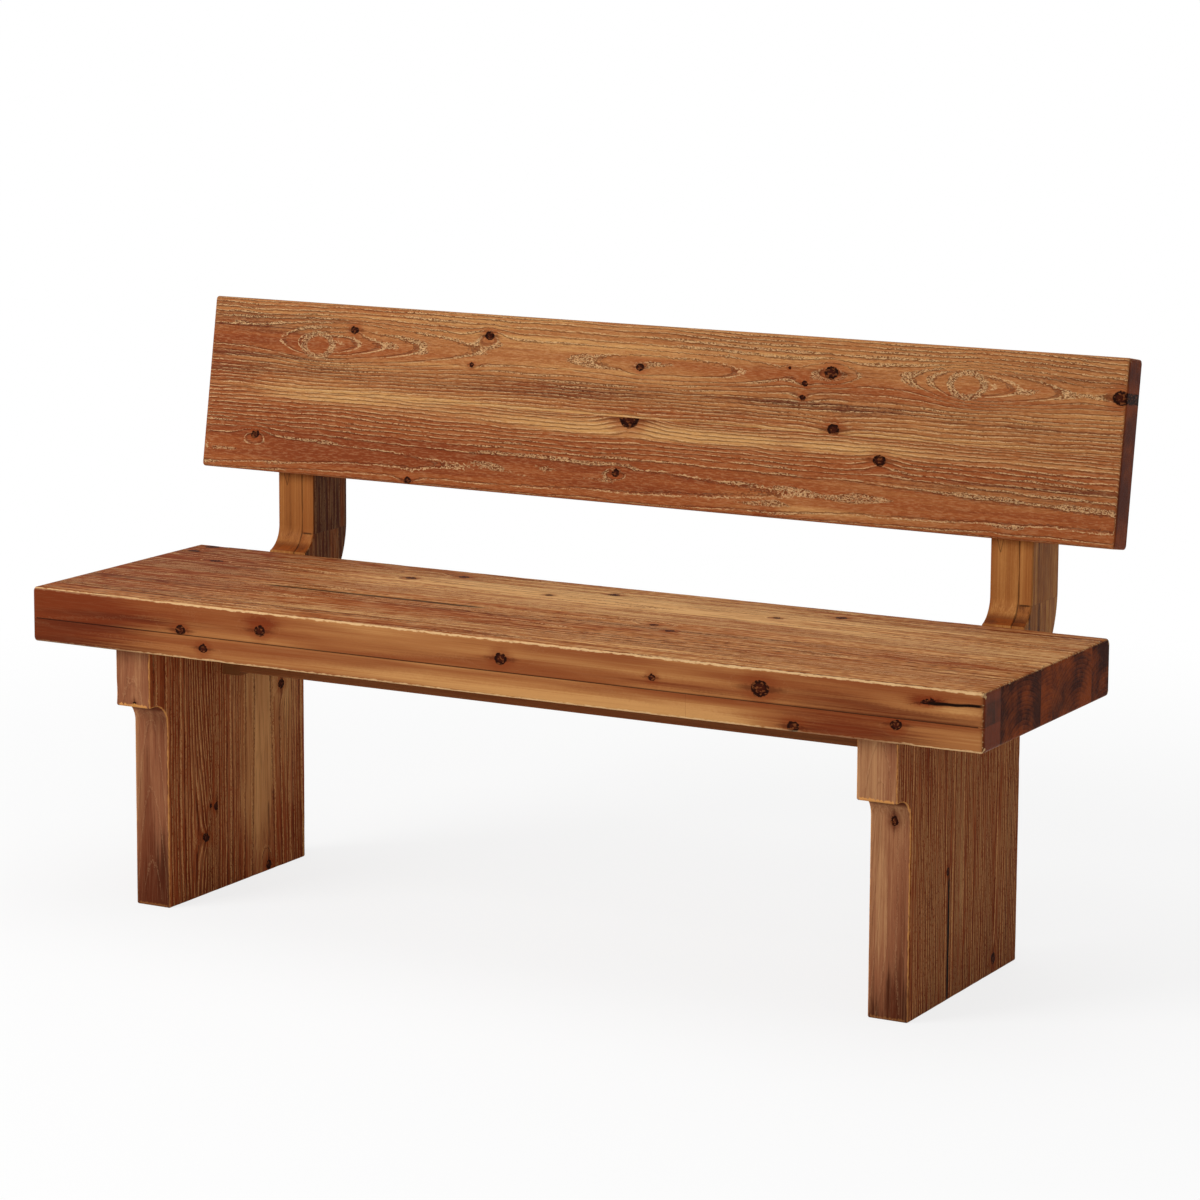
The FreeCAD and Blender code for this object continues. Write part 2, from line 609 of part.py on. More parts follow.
def shank(name, diameter, length):
    """Round shank from the origin down, with a tapered end."""
    radius = f"{diameter} / 2"
    stem = primitive("Part::Cylinder", f"{name}_stem", {
        "Radius": radius, "Height": f"{length} - {TIP_SHARE} * {diameter}",
        "Placement.Base.z": f"{TIP_SHARE} * {diameter} - {length}"})
    tip = primitive("Part::Cone", f"{name}_tip", {
        "Radius1": f"{radius} * {POINT_SHARE}", "Radius2": radius,
        "Height": f"{TIP_SHARE} * {diameter}", "Placement.Base.z": f"-({length})"})
    return [stem, tip]


def hex_screw(name, diameter, length):
    """Bolt or coach screw: hexagon head above the origin, shank below."""
    head = primitive("Part::Prism", f"{name}_head", {
        "Circumradius": "dim.hex_width / sqrt(3)", "Height": "dim.hex_height"})
    head.Polygon = HEX_SIDES
    return joined(name, [head] + shank(name, diameter, length))


def with_socket(name, solid, diameter, top, depth):
    """Cut a hexagon socket into the top of a screw's head."""
    drive = primitive("Part::Prism", f"{name}_drive", {
        "Circumradius": f"{diameter} * {DRIVE_SHARE}", "Height": depth,
        "Placement.Base.z": f"{top} - {depth}"})
    drive.Polygon = HEX_SIDES
    cut = doc.addObject("Part::Cut", name)
    cut.Base = solid
    cut.Tool = drive
    return cut


def wood_screw(name, diameter, head, length):
    """Countersunk screw with its flat top at the origin and a hexagon socket in it."""
    sink = f"(({head} - {diameter}) / 2)"
    cone = primitive("Part::Cone", f"{name}_head", {
        "Radius1": f"{diameter} / 2", "Radius2": f"{head} / 2", "Height": sink,
        "Placement.Base.z": f"-{sink}"})
    solid = joined(f"{name}_solid", [cone] + shank(name, diameter, length))
    return with_socket(name, solid, diameter, "0", sink)


def pan_screw(name, diameter, head, length):
    """Flat-bottomed screw: a tapered button of a head above the origin, shank below."""
    height = f"({head} * {PAN_SHARE})"
    button = primitive("Part::Cone", f"{name}_head", {
        "Radius1": f"{head} / 2", "Radius2": f"{head} * {BUTTON_SHARE} / 2", "Height": height})
    solid = joined(f"{name}_solid", [button] + shank(name, diameter, length))
    return with_socket(name, solid, diameter, height, f"{height} * {TIP_SHARE}")


def ring(name, diameter, bore, height):
    """Washer or insert: a tube from the origin up."""
    outside = primitive("Part::Cylinder", f"{name}_outside", {"Radius": f"{diameter} / 2", "Height": height})
    inside = primitive("Part::Cylinder", f"{name}_inside", {"Radius": f"{bore} / 2", "Height": height})
    cut = doc.addObject("Part::Cut", name)
    cut.Base = outside
    cut.Tool = inside
    return cut


def group(label, master, spots):
    """Separate copies of one fastener, each at a spot and turned about an axis."""
    members = []
    for number, (x, y, z, axis, angle) in enumerate(spots):
        link = doc.addObject("App::Link", f"{label}_{number}")
        link.LinkedObject = master
        link.Placement = FreeCAD.Placement(FreeCAD.Vector(), FreeCAD.Rotation(axis, angle))
        place(link, x, y, z)
        members.append(link)
    whole = doc.addObject("Part::Compound", label)
    whole.Links = members
    whole.Label = label
    nodes.append(whole)


def fasteners():
    """Dowels, screws, bolts, washers and inserts, in one group for each kind and place."""
    along_x = FreeCAD.Vector(1, 0, 0)
    along_y = FreeCAD.Vector(0, 1, 0)
    to_rear = (along_x, -RIGHT_ANGLE)
    down = (along_x, 2 * RIGHT_ANGLE)
    upright = (along_x, 0)

    dowel = primitive("Part::Cylinder", "dowel", {"Radius": "dim.dowel_diameter / 2",
                                                  "Height": "dim.dowel_length"})
    group("leg_dowels", dowel, [
        (f"{side} * {LEG_MIDDLE}", f"{SEAT_FRONT} + {spot}",
         f"{UNDERSIDE} - dim.dowel_length / 2") + upright
        for spot in FRONT_DOWELS + REAR_DOWELS for _, side in SIDES])

    coach_y = f"{SEAT_BACK} + dim.coach_grip"
    spots = [(f"{side} * {LEG_MIDDLE} + {COACH_SHIFT}", coach_y,
              f"{UNDERSIDE} + {up}") + to_rear
             for up in COACH_PLACES for _, side in SIDES]
    bore = "(dim.bolt_diameter + 2 * dim.fit)"
    washer = ring("washer", "dim.washer_diameter", bore, "dim.washer_thickness")
    group("post_washers", washer, spots)
    coach = hex_screw("coach_screw", "dim.coach_diameter",
                      f"({COACH_REACH} + dim.coach_grip + dim.washer_thickness)")
    group("post_screws", coach, [
        (x, f"{y} + dim.washer_thickness", z, axis, angle) for x, y, z, axis, angle in spots])

    back = pan_screw("back_screw", "dim.screw_diameter", "dim.screw_head",
                     f"({back_screw_grip()} + dim.back_screw_bite)")
    group("back_screws", back, [
        (f"{side} * {LEG_MIDDLE} + {COACH_SHIFT}",
         f"{BACK_Y} + {back_plane(back_screw_up(share))} + {back_screw_grip()}",
         f"{BACK_Z} + {back_screw_up(share)}") + to_rear
        for share in BACK_SCREW_SHARES for _, side in SIDES])

    cleat = wood_screw("cleat_screw", "dim.screw_diameter", "dim.screw_head",
                       "(dim.cleat_thickness + dim.cleat_screw_bite)")
    inner = f"({LEG_MIDDLE} - dim.leg_thickness / 2 - dim.cleat_thickness)"
    group("cleat_screws", cleat, [
        (f"{side} * {inner}", f"{CLEAT_FRONT} + {share} * dim.cleat_length",
         f"{UNDERSIDE} - dim.cleat_height + dim.cleat_screw_rise", along_y, -side * RIGHT_ANGLE)
        for share in CLEAT_SCREW_SHARES for _, side in SIDES])

    spots = [(f"{side} * {CLEAT_MIDDLE}", f"{SEAT_FRONT} + {spot}",
              f"{UNDERSIDE} - dim.cleat_height") + down
             for spot in BOLT_PLACES for _, side in SIDES]
    group("cleat_washers", washer, spots)
    bolt = hex_screw("cleat_bolt", "dim.bolt_diameter",
                     f"(dim.washer_thickness + dim.cleat_height + {BOLT_REACH_SHARE} * dim.insert_length)")
    group("cleat_bolts", bolt, [
        (x, y, f"{z} - dim.washer_thickness", axis, angle) for x, y, z, axis, angle in spots])
    insert = ring("insert", "dim.insert_diameter", bore, "dim.insert_length")
    group("cleat_inserts", insert, [(x, y, UNDERSIDE) + upright for x, y, *_ in spots])

    long_screw = wood_screw("long_screw", "dim.long_screw_diameter", "dim.long_screw_head",
                            "(dim.stretcher_height + dim.long_screw_bite)")
    group("stretcher_screws", long_screw, [
        (f"{share} * {STRETCHER_LENGTH}", f"{CLEAT_FRONT} + {LONG_SCREW_SHARE} * dim.stretcher_thickness",
         f"{UNDERSIDE} - dim.stretcher_height") + down
        for share in STRETCHER_SCREW_SHARES])


def write_out():
    """Check every object and write each piece as a STEP file."""
    doc.recompute()
    for item in doc.Objects:
        if any(word in item.State for word in ("Invalid", "Error")):
            raise ValueError(f"{item.Label}: {item.State}")
    os.makedirs("parts", exist_ok=True)
    for node in nodes:
        shape = node.Shape
        if shape.isNull() or not shape.isValid():
            raise ValueError(f"{node.Label} has no valid shape")
        shape.exportStep(f"parts/{node.Label}.step")


seat()
backrest()
legs()
posts()
under_frame()
fasteners()
write_out()
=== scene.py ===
"""Looks of a dining bench with a back: worn, brushed and waxed pine on a glued-up frame."""
import logging
import math
from dataclasses import dataclass
from enum import Enum
from typing import Callable, Mapping, NamedTuple, Sequence

import bpy
from mathutils import Matrix, Vector, noise


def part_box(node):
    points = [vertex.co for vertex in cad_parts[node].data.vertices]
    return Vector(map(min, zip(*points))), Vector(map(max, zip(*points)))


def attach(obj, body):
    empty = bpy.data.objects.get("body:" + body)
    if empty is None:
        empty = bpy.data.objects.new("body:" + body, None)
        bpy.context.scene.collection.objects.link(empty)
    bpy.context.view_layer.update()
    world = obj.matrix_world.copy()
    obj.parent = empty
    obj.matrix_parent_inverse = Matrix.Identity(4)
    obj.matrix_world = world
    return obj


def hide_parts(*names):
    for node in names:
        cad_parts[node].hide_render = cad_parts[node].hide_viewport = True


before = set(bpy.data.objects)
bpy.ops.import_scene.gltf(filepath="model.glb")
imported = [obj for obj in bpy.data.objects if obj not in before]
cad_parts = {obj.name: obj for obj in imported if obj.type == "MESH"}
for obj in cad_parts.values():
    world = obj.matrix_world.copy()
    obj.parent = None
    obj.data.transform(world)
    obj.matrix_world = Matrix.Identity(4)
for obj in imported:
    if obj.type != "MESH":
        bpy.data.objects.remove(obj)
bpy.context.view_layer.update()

log = logging.getLogger("dining_bench")

Pair = tuple[float, float]
Triple = tuple[float, float, float]
Socket = bpy.types.NodeSocket
Value = object

X, Y, Z = (Vector(row) for row in Matrix.Identity(3))
ORIGIN = Vector((0.0, 0.0, 0.0))
MM = 0.001
QUARTER = math.pi / 2
SHARP = math.radians(38)

# Cosines that part a board's faces: a level top, a narrow edge, and the most a face may turn sideways.
TOP_FACING = 0.75
EDGE_FACING = 0.3
SIDEWAYS = 0.6
# Cosines over which a face turns into end grain, and from a narrow edge into a broad face.
END_TURN = (0.55, 0.85)
BROAD_TURN = (0.6, 0.9)

# Colour sockets of a Mix node, and a soft MapRange.
MIX_UNDER, MIX_OVER, MIX_OUT = 6, 7, 2
SOFT = {"interpolation_type": "SMOOTHSTEP"}

# Share of a mark's strength that is left at its reach, and a distance that is far from every mark.
FADE = 0.3679
FAR = 9.0


def linear(code: str) -> tuple[float, float, float, float]:
    """Turns an sRGB hex colour into linear values.

    Args:
        code: colour as "#rrggbb".
    Returns:
        Linear red, green, blue and an alpha of 1.
    """
    shares = [int(code[i:i + 2], 16) / 255 for i in (1, 3, 5)]
    red, green, blue = (s / 12.92 if s <= 0.04045 else ((s + 0.055) / 1.055) ** 2.4 for s in shares)
    return red, green, blue, 1.0


def per_metre(size: float) -> float:
    """How often a size in millimetres fits in a metre."""
    return 1000 / size


class Graph:
    """Node tree of one material or world, filled through a single method."""

    def __init__(self, owner: bpy.types.Material | bpy.types.World) -> None:
        """Starts from an empty tree.

        Args:
            owner: material or world whose tree it is.
        """
        owner.use_nodes = True
        self.tree = owner.node_tree
        self.tree.nodes.clear()

    def add(self, kind: str, *values: Value, into: Mapping[int | str, Value] | None = None, out: int | str = 0,
            **settings: Value) -> Socket | None:
        """Adds a node with its settings and links.

        Args:
            kind: node type without the ShaderNode prefix, and its operation after a full stop.
            values: what goes into its first sockets, each a value or the output socket that feeds it.
            into: the same for other sockets, by number or name.
            out: output to hand back.
            settings: properties of the node.
        Returns:
            The chosen output socket, or None where the node has none.
        """
        kind, _, operation = kind.partition(".")
        node = self.tree.nodes.new("ShaderNode" + kind)
        for key, value in {**settings, **({"operation": operation} if operation else {})}.items():
            setattr(node, key, value)
        for key, value in {**dict(enumerate(values)), **(into or {})}.items():
            if isinstance(value, Socket):
                self.tree.links.new(value, node.inputs[key])
            else:
                node.inputs[key].default_value = value
        return node.outputs[out] if len(node.outputs) else None


class Side(Enum):
    """Left or right end of the bench, as one sits on it."""

    LEFT = "left"
    RIGHT = "right"


class MarkKind(Enum):
    """Natural marks in a board."""

    KNOT = "knot"
    SWELL = "swell"
    EYE = "eye"
    STAIN = "stain"
    STREAK = "streak"
    CRACK = "crack"


KNOT, SWELL, EYE, STAIN, STREAK, CRACK = MarkKind


@dataclass(frozen=True)
class Mark:
    """One natural mark on a board's face.

    Sizes are in millimetres: at is the place along and across the face, reach the half length and
    half width, slope the rise across for each step along, and depth the place through the board of a
    mark that doesn't go right through. A swell bends the rings into nested ovals, and an eye is the
    smooth oval inside them with its brushed-out rim.
    """

    kind: MarkKind
    at: Pair
    reach: Pair
    strength: float = 1.0
    slope: float = 0.0
    depth: float | None = None


def marks_from(table: Mapping[MarkKind, Sequence[tuple[float, ...]]],
               knot_depth: float | None = None) -> tuple[Mark, ...]:
    """Reads marks from a table.

    Args:
        table: rows of each kind: place along and across, half length, half width, then strength and slope
            where they aren't the usual ones. A row of three is a branch knot with its radius.
        knot_depth: place of the knots through the board, where they don't go right through.
    Returns:
        The marks.
    """
    marks: list[Mark] = []
    for kind, rows in table.items():
        depth = knot_depth if kind is KNOT else None
        for along, across, *reach in rows:
            length, width, *rest = reach if len(reach) > 1 else (reach[0] * 1.2, reach[0])
            marks.append(Mark(kind, (along, across), (length, width), *rest, depth=depth))
    return tuple(marks)


def marks_within(marks: Sequence[Mark], low: float, high: float) -> tuple[Mark, ...]:
    """Marks that lie on one board.

    Args:
        marks: marks of a whole face.
        low: lower edge of the board across the face, in millimetres.
        high: upper edge.
    Returns:
        Those whose middle is between the edges, and all wide stains and streaks.
    """
    wide = (STAIN, STREAK)
    return tuple(m for m in marks if low <= m.at[1] <= high or m.kind in wide)


@dataclass(frozen=True)
class Grain:
    """How one board was cut: its axes, the heart of the tree and the marks on its face.

    The heart's place across and through the board is in millimetres. Tone lightens the board, ruddy
    reddens it and taper is how much the rings lean along it. The last field is painted shade: below zero it
    darkens only the board's broad faces.
    """

    along: Vector
    across: Vector
    broad: Vector
    origin: Vector
    heart: Pair
    seed: float
    marks: tuple[Mark, ...] = ()
    tone: float = 0.0
    ruddy: float = 0.0
    taper: float = 0.006
    painted_broad_shade: float = 0.0


@dataclass(frozen=True)
class BrushedPine:
    """Old pine, sawn, wire-brushed, stained and waxed.

    Brushing takes the soft early wood away, so each ring shows as a broken pale line beside a dark one,
    and wide early wood turns to a sandy band. These lines are partly the wood's own colour and partly
    painted light: a painted highlight on each ridge and painted shade in the grooves, laid over the bump.
    Planed edges stay smooth, corners are rubbed pale. Colours are sRGB hex. Sizes are in millimetres:
    ring_mm is a year's growth, line_mm the width of its brushed line, wander_mm how far the rings sway and
    relief_mm the depth of the brushing, and fleck_mm, dust_mm and tone_mm are the length and width of a
    fibre fleck, a fine speck and a tone streak. The weights after them say how strongly sandy bands,
    flecks, lines, dark grooves with their painted shade, specks, tone streaks, glue seams and rubbed
    corners show.
    """

    name: str
    light: str
    mid: str
    dark: str
    red: str
    cream_and_highlight: str
    worn: str
    end: str
    ring_mm: float
    fleck_mm: Pair
    line_mm: float = 0.8
    tone_mm: Pair = (620.0, 8.0)
    dust_mm: Pair = (14.0, 1.2)
    wander_mm: float = 9.0
    uneven_mm: float = 21.0
    relief_mm: float = 0.4
    sand: float = 0.0
    streaks: float = 0.4
    lines: float = 0.5
    groove_shade: float = 0.85
    dust: float = 0.5
    contrast: float = 1.0
    seam: float = 0.3
    wear: float = 0.5
    roughness: float = 0.62
    gloss: float = 0.03
    ior: float = 1.48
    knot: str = "#3a150a"
    bark: str = "#160805"
    glint: str = "#7a4424"
    crack: str = "#180a05"
    glue: str = "#1f0d07"

    def material(self, piece: str, grain: Grain) -> bpy.types.Material:
        """Mixes the finish for one board.

        Args:
            piece: board's name.
            grain: how the board was cut.
        Returns:
            The material.
        """
        made = bpy.data.materials.new(f"{self.name}_{piece}")
        PineBoard(self, grain, made).mix()
        return made


class PineBoard:
    """Node tree of one board of brushed pine, made layer by layer.

    Lift moves the rings. Knot, smear and eye are the distances from the nearest knot, from the stain drawn
    out of it and from the nearest eye, in shares of their reach. Crack and glow are strengths. Count is the
    ring, phase the place in it and slant how steeply the face cuts it. Pale and deep are the brushed lines,
    partly the wood's colour and partly painted light: a painted highlight on the ridges and painted shade
    in the grooves. Shade and warm are the tone, edge the mesh's own edge mark and rubbed the worn corners.
    """

    count: Socket
    phase: Socket
    slant: Socket
    pale: Socket
    deep: Socket
    shade: Socket
    warm: Socket
    edge: Socket
    rubbed: Socket

    def __init__(self, finish: BrushedPine, grain: Grain, made: bpy.types.Material) -> None:
        """Finds the place along the grain, across the face and through the board, and which face it is.

        Args:
            finish: what the wood looks like.
            grain: how the board was cut.
            made: material to fill.
        """
        self.finish, self.grain = finish, grain
        self.add = add = Graph(made).add
        place = add("VectorMath.SUBTRACT", add("TexCoord", out="Object"), tuple(grain.origin))
        self.axes = [add("VectorMath.DOT_PRODUCT", place, tuple(axis), out="Value")
                     for axis in (grain.along, grain.across, grain.along.cross(grain.across))]
        self.spot = add("CombineXYZ", *self.axes)
        normal = add("NewGeometry", out="Normal")
        endwise, self.broad = (
            add("Math.ABSOLUTE", add("VectorMath.DOT_PRODUCT", normal, tuple(axis), out="Value"))
            for axis in (grain.along, grain.broad))
        self.end_face = add("MapRange", endwise, *END_TURN, **SOFT)
        brushed = add("MapRange", self.broad, *BROAD_TURN, 0.15, 1.0, **SOFT)
        self.brushed = add("Math.MULTIPLY_ADD", self.end_face, 0.5, brushed)
        self.cloud: dict[str, Socket] = {}
        self.lift: Value = 0.0
        self.crack: Value = 0.0
        self.knot: Value = FAR
        self.smear: Value = FAR
        self.eye: Value = FAR
        self.glow: dict[MarkKind, Value] = {STAIN: 0.0, STREAK: 0.0}

    def clouds(self) -> None:
        """Makes the noise, each kind stretched to its real length and width in millimetres."""
        length, width = self.finish.fleck_mm
        sizes = {
            "wander": (420, 85, 2.0), "wiggle": (46, 17, 2.0), "ragged": (5, 3.5, 2.0), "worm": (3.4, 1.8, 1.0),
            "broken": (length * 3, width * 3, 2.0), "sandy": (130, 24, 1.0), "grit": (length, width, 3.0),
            "dust": (*self.finish.dust_mm, 2.0), "fibre": (length * 7, width * 1.2, 3.0),
            "tones": (*self.finish.tone_mm, 4.0), "patch": (520, 48, 2.0), "ruddy": (480, 30, 2.0),
            "nibble": (9, 3, 3.0),
        }
        seed = self.grain.seed
        for turn, (name, (size, girth, detail)) in enumerate(sizes.items()):
            stretch = (per_metre(size), per_metre(girth), per_metre(girth))
            start = (seed + 3.1 * turn, 5.3 * turn, seed * 0.37)
            place = self.add("VectorMath.MULTIPLY_ADD", self.spot, stretch, start)
            self.cloud[name] = self.add("TexNoise", place, into={"Scale": 1.0, "Detail": detail, "Roughness": 0.55})

    def marks(self) -> None:
        """Draws the natural marks, cracks with a calm outline and the others with a ragged one."""
        add = self.add
        loose, calm = (add("VectorMath.ADD", self.spot, add("CombineXYZ", *(
            add("Math.MULTIPLY_ADD", self.cloud[name], reach * MM, -0.5 * reach * MM) for name, reach in moves)))
            for moves in ((("wiggle", 6.0), ("ragged", 7.0)), (("wiggle", 0.0), ("wiggle", 5.0))))
        for mark in self.grain.marks:
            length, width = (per_metre(r) for r in mark.reach)
            middle = (mark.at[0] * MM, mark.at[1] * MM, (mark.depth or 0.0) * MM)
            away = add("VectorMath.SUBTRACT", calm if mark.kind is CRACK else loose, middle)
            away = add("VectorRotate", away, into={"Angle": -math.atan(mark.slope)}, rotation_type="Z_AXIS")
            near = add("VectorMath.MULTIPLY", away, (length, width, width if mark.depth else 0.0))
            if mark.kind is CRACK:
                along, across, _ = add("SeparateXYZ", add("VectorMath.ABSOLUTE", near)).node.outputs
                line = add("Math.MULTIPLY", add("MapRange", along, 1.0, 0.8, **SOFT),
                           add("MapRange", across, 1.0, 0.4, 0.0, mark.strength, **SOFT))
                self.crack = add("Math.MAXIMUM", self.crack, line)
                continue
            if mark.kind is EYE:
                self.eye = add("Math.MINIMUM", self.eye, add("VectorMath.LENGTH", near, out="Value"))
                continue
            knotty = mark.kind is KNOT
            bent = add("VectorMath.MULTIPLY", near, (0.3, 0.5, 1.0) if knotty else (1.0, 1.0, 1.0))
            hill = add("Math.POWER", FADE, add("VectorMath.DOT_PRODUCT", bent, bent, out="Value"))
            if mark.kind in self.glow:
                self.glow[mark.kind] = add("Math.MULTIPLY_ADD", hill, mark.strength, self.glow[mark.kind])
                continue
            drop = (0.6 * mark.reach[1] if knotty else 1.0) * mark.strength * MM
            self.lift = add("Math.MULTIPLY_ADD", hill, -drop, self.lift)
            if knotty:
                drawn = add("VectorMath.MULTIPLY", near, (0.36, 2.6, 1.0))
                self.knot, self.smear = (
                    add("Math.MINIMUM", least, add("VectorMath.LENGTH", way, out="Value"))
                    for least, way in ((self.knot, near), (self.smear, drawn)))

    def rings(self) -> None:
        """Counts the yearly rings about the heart, and finds how steeply the face cuts them."""
        add, finish, grain = self.add, self.finish, self.grain
        sway = add("Math.MULTIPLY_ADD", self.cloud["wander"], finish.wander_mm * MM, self.axes[1])
        sway = add("Math.MULTIPLY_ADD", self.cloud["wiggle"], finish.wander_mm * 0.2 * MM, sway)
        side = add("Math.SUBTRACT", sway, (grain.heart[0] + finish.wander_mm * 0.6) * MM)
        depth = add("Math.SUBTRACT", self.axes[2], grain.heart[1] * MM)
        radius = add("VectorMath.LENGTH", add("CombineXYZ", side, depth), out="Value")
        slope = add("Math.DIVIDE", add("Math.ABSOLUTE", side), radius)
        radius = add("Math.ADD", add("Math.MULTIPLY_ADD", self.axes[0], grain.taper, radius), self.lift)
        noise_1d = {"W": radius, "Scale": per_metre(finish.uneven_mm), "Detail": 1.0}
        uneven = add("Math.MULTIPLY", add("TexNoise", into=noise_1d, noise_dimensions="1D"), 2.4)
        self.count = add("Math.MULTIPLY_ADD", radius, per_metre(finish.ring_mm), uneven)
        self.phase = add("Math.FRACT", add("Math.MULTIPLY_ADD", self.cloud["ragged"], 0.3, self.count))
        lifted = add("Math.MULTIPLY", add("Math.ABSOLUTE", self.lift), 45.0)
        self.slant = add("Math.MAXIMUM", slope, lifted)

    def lines(self) -> None:
        """Brushes the rings: a pale line on the soft side of each and a dark one on its hard side."""
        add, finish, cloud = self.add, self.finish, self.cloud
        thin = add("MapRange", self.slant, 0.0, 1.0, 0.025, finish.line_mm / finish.ring_mm)
        thinner = add("Math.MULTIPLY", thin, 0.3)
        quiet = add("MapRange", self.eye, 0.9, 1.05, **SOFT)
        broken = add("MapRange", cloud["broken"], 0.34, 0.5, **SOFT)
        dotted = add("Math.MULTIPLY", broken, add("MapRange", cloud["worm"], 0.32, 0.46, **SOFT))
        half = add("Math.MULTIPLY_ADD", broken, 0.5, 0.5)

        # Sandy bands of wide early wood, and the rim of an eye.
        wide = add("MapRange", cloud["sandy"], 0.46, 0.64, 0.0, 0.5 * finish.sand)
        wide = add("Math.MULTIPLY", wide, add("MapRange", self.slant, 0.8, 0.4, **SOFT))
        sandy = add("MapRange", add("Math.SUBTRACT", self.phase, wide), 0.0, -0.1, **SOFT)
        rim = add("Math.ABSOLUTE", add("Math.SUBTRACT", self.eye, 1.22))
        sandy = add("Math.MAXIMUM", sandy, add("MapRange", rim, 0.34, 0.2, **SOFT))

        # Soft side: the pale line, partly a painted highlight on the ridge. Hard side: the dark line, partly painted
        # shade in the grooves.
        soft_side = (thin, dotted, (0.53, 0.1), (0.5, 0.6))
        hard_side = (add("Math.SUBTRACT", 1.0, thin), half, (0.38, 0.08), (0.47, 0.38))
        masks: list[Socket] = []
        for level, breaks, (dot, reach), fleck in (soft_side, hard_side):
            off = add("Math.ABSOLUTE", add("Math.SUBTRACT", self.phase, level))
            line = add("Math.MULTIPLY", add("MapRange", off, thin, thinner, **SOFT), breaks)
            off = add("Math.ABSOLUTE", add("Math.SUBTRACT", cloud["worm"], dot))
            dots = add("Math.MULTIPLY", add("MapRange", off, reach, reach * 0.3, **SOFT), sandy)
            line = add("Math.MAXIMUM", add("Math.MULTIPLY", line, quiet), dots)
            flecks = add("MapRange", cloud["grit"], *fleck, 0.0, finish.streaks, **SOFT)
            line = add("Math.MAXIMUM", add("Math.MULTIPLY", line, finish.lines), flecks)
            masks.append(add("Math.MULTIPLY", line, self.brushed))
        self.pale, self.deep = masks

    def tones(self) -> None:
        """Clouds the stained wood in lightness and redness, from fine dust to broad patches."""
        add, finish = self.add, self.finish
        plain = 0.55 + self.grain.tone
        # The third levels lay painted shade on the broad faces only, where the grain asks for it.
        specks, bands, shade = (add("MapRange", self.broad, *BROAD_TURN, *levels) for levels in (
            (0.25 * finish.dust, finish.dust), (0.4 * finish.contrast, 1.3 * finish.contrast),
            (plain, plain + self.grain.painted_broad_shade)))
        for name, weight in (("dust", specks), ("tones", bands), ("patch", 0.8 * finish.contrast), ("fibre", 0.7)):
            shade = add("Math.MULTIPLY_ADD", add("Math.SUBTRACT", self.cloud[name], 0.5), weight, shade)
        warm = self.cloud["ruddy"]
        for kind, lighter, redder in ((STREAK, 1.0, -0.3), (STAIN, -0.7, 0.15)):
            shade = add("Math.MULTIPLY_ADD", self.glow[kind], lighter, shade)
            warm = add("Math.MULTIPLY_ADD", self.glow[kind], redder, warm)
        self.shade, self.warm = shade, warm

    def corners(self) -> None:
        """Rubs the corners pale where no stain has filled them."""
        add, wear = self.add, self.finish.wear
        self.edge = add("Attribute", out="Fac", attribute_name="edge")
        nibbled = add("Math.MULTIPLY_ADD", add("Math.SUBTRACT", self.cloud["nibble"], 0.5), 1.3, self.edge)
        rubbed = add("MapRange", nibbled, 0.9 - 0.4 * wear, 1.22 - 0.4 * wear, 0.0, wear, **SOFT)
        clean = add("MapRange", self.glow[STAIN], 0.2, 0.7, 1.0, 0.25, **SOFT)
        self.rubbed = add("Math.MULTIPLY", rubbed, clean)

    def mix(self) -> None:
        """Lays the colours over each other and joins them, the relief and the shine to the shader."""
        for step in (self.clouds, self.marks, self.rings, self.lines, self.tones, self.corners):
            step()
        add, finish, cloud, redder = self.add, self.finish, self.cloud, self.grain.ruddy

        # End grain, with its rings drawn in pairs so that they show.
        ends: Value = self.grain.tone * 2.0 - 0.85
        paired = add("Math.FRACT", add("Math.MULTIPLY", self.count, 0.5))
        for value, weight in ((paired, 0.24), (cloud["patch"], 2.0), (cloud["worm"], 0.3), (cloud["grit"], 0.4)):
            ends = add("Math.MULTIPLY_ADD", value, weight, ends)
        faint = add("Math.MULTIPLY", add("Math.MULTIPLY", self.pale, 0.25), self.end_face)
        sawn = add("Math.MULTIPLY", add("MapRange", ends, 0.3, 1.15, **SOFT), self.end_face)

        core = add("MapRange", self.knot, 1.08, 0.94, **SOFT)
        bark = add("Math.MULTIPLY", core, add("MapRange", self.knot, 0.35, 0.8, 0.0, 0.8, **SOFT))
        # Glint: paler flecks in the knots' plugs, a painted highlight on their crackle.
        glint = add("Math.MULTIPLY", core, add("MapRange", cloud["ragged"], 0.54, 0.62, 0.0, 0.7, **SOFT))
        colour: Value = linear(finish.dark)
        for share, tint in (
            (add("MapRange", self.shade, 0.0, 0.55, **SOFT), finish.mid),
            (add("MapRange", self.shade, 0.5, 1.05, **SOFT), finish.light),
            (add("MapRange", self.warm, 0.48 - redder, 0.74 - redder, 0.0, 0.7, **SOFT), finish.red),
            # Brushed lines, partly painted light: painted shade in the grooves, a painted highlight on the ridges.
            (add("Math.MULTIPLY", self.deep, finish.groove_shade), finish.dark),
            (add("Math.MULTIPLY", self.pale, 0.7), finish.cream_and_highlight),
            (self.end_face, finish.end),
            (sawn, finish.red),
            (faint, finish.mid),
            (add("MapRange", self.knot, 3.0, 1.0, 0.0, 0.55, **SOFT), finish.red),
            (add("MapRange", self.smear, 1.4, 0.5, 0.0, 0.5, **SOFT), finish.knot),
            (core, finish.knot),
            (bark, finish.bark),
            (glint, finish.glint),
            (self.crack, finish.crack),
            (self.rubbed, finish.worn),
            (add("MapRange", self.edge, -0.8, -0.98, 0.0, finish.seam, **SOFT), finish.glue),
        ):
            tints = {MIX_UNDER: colour, MIX_OVER: linear(tint)}
            colour = add("Mix", share, into=tints, out=MIX_OUT, data_type="RGBA")

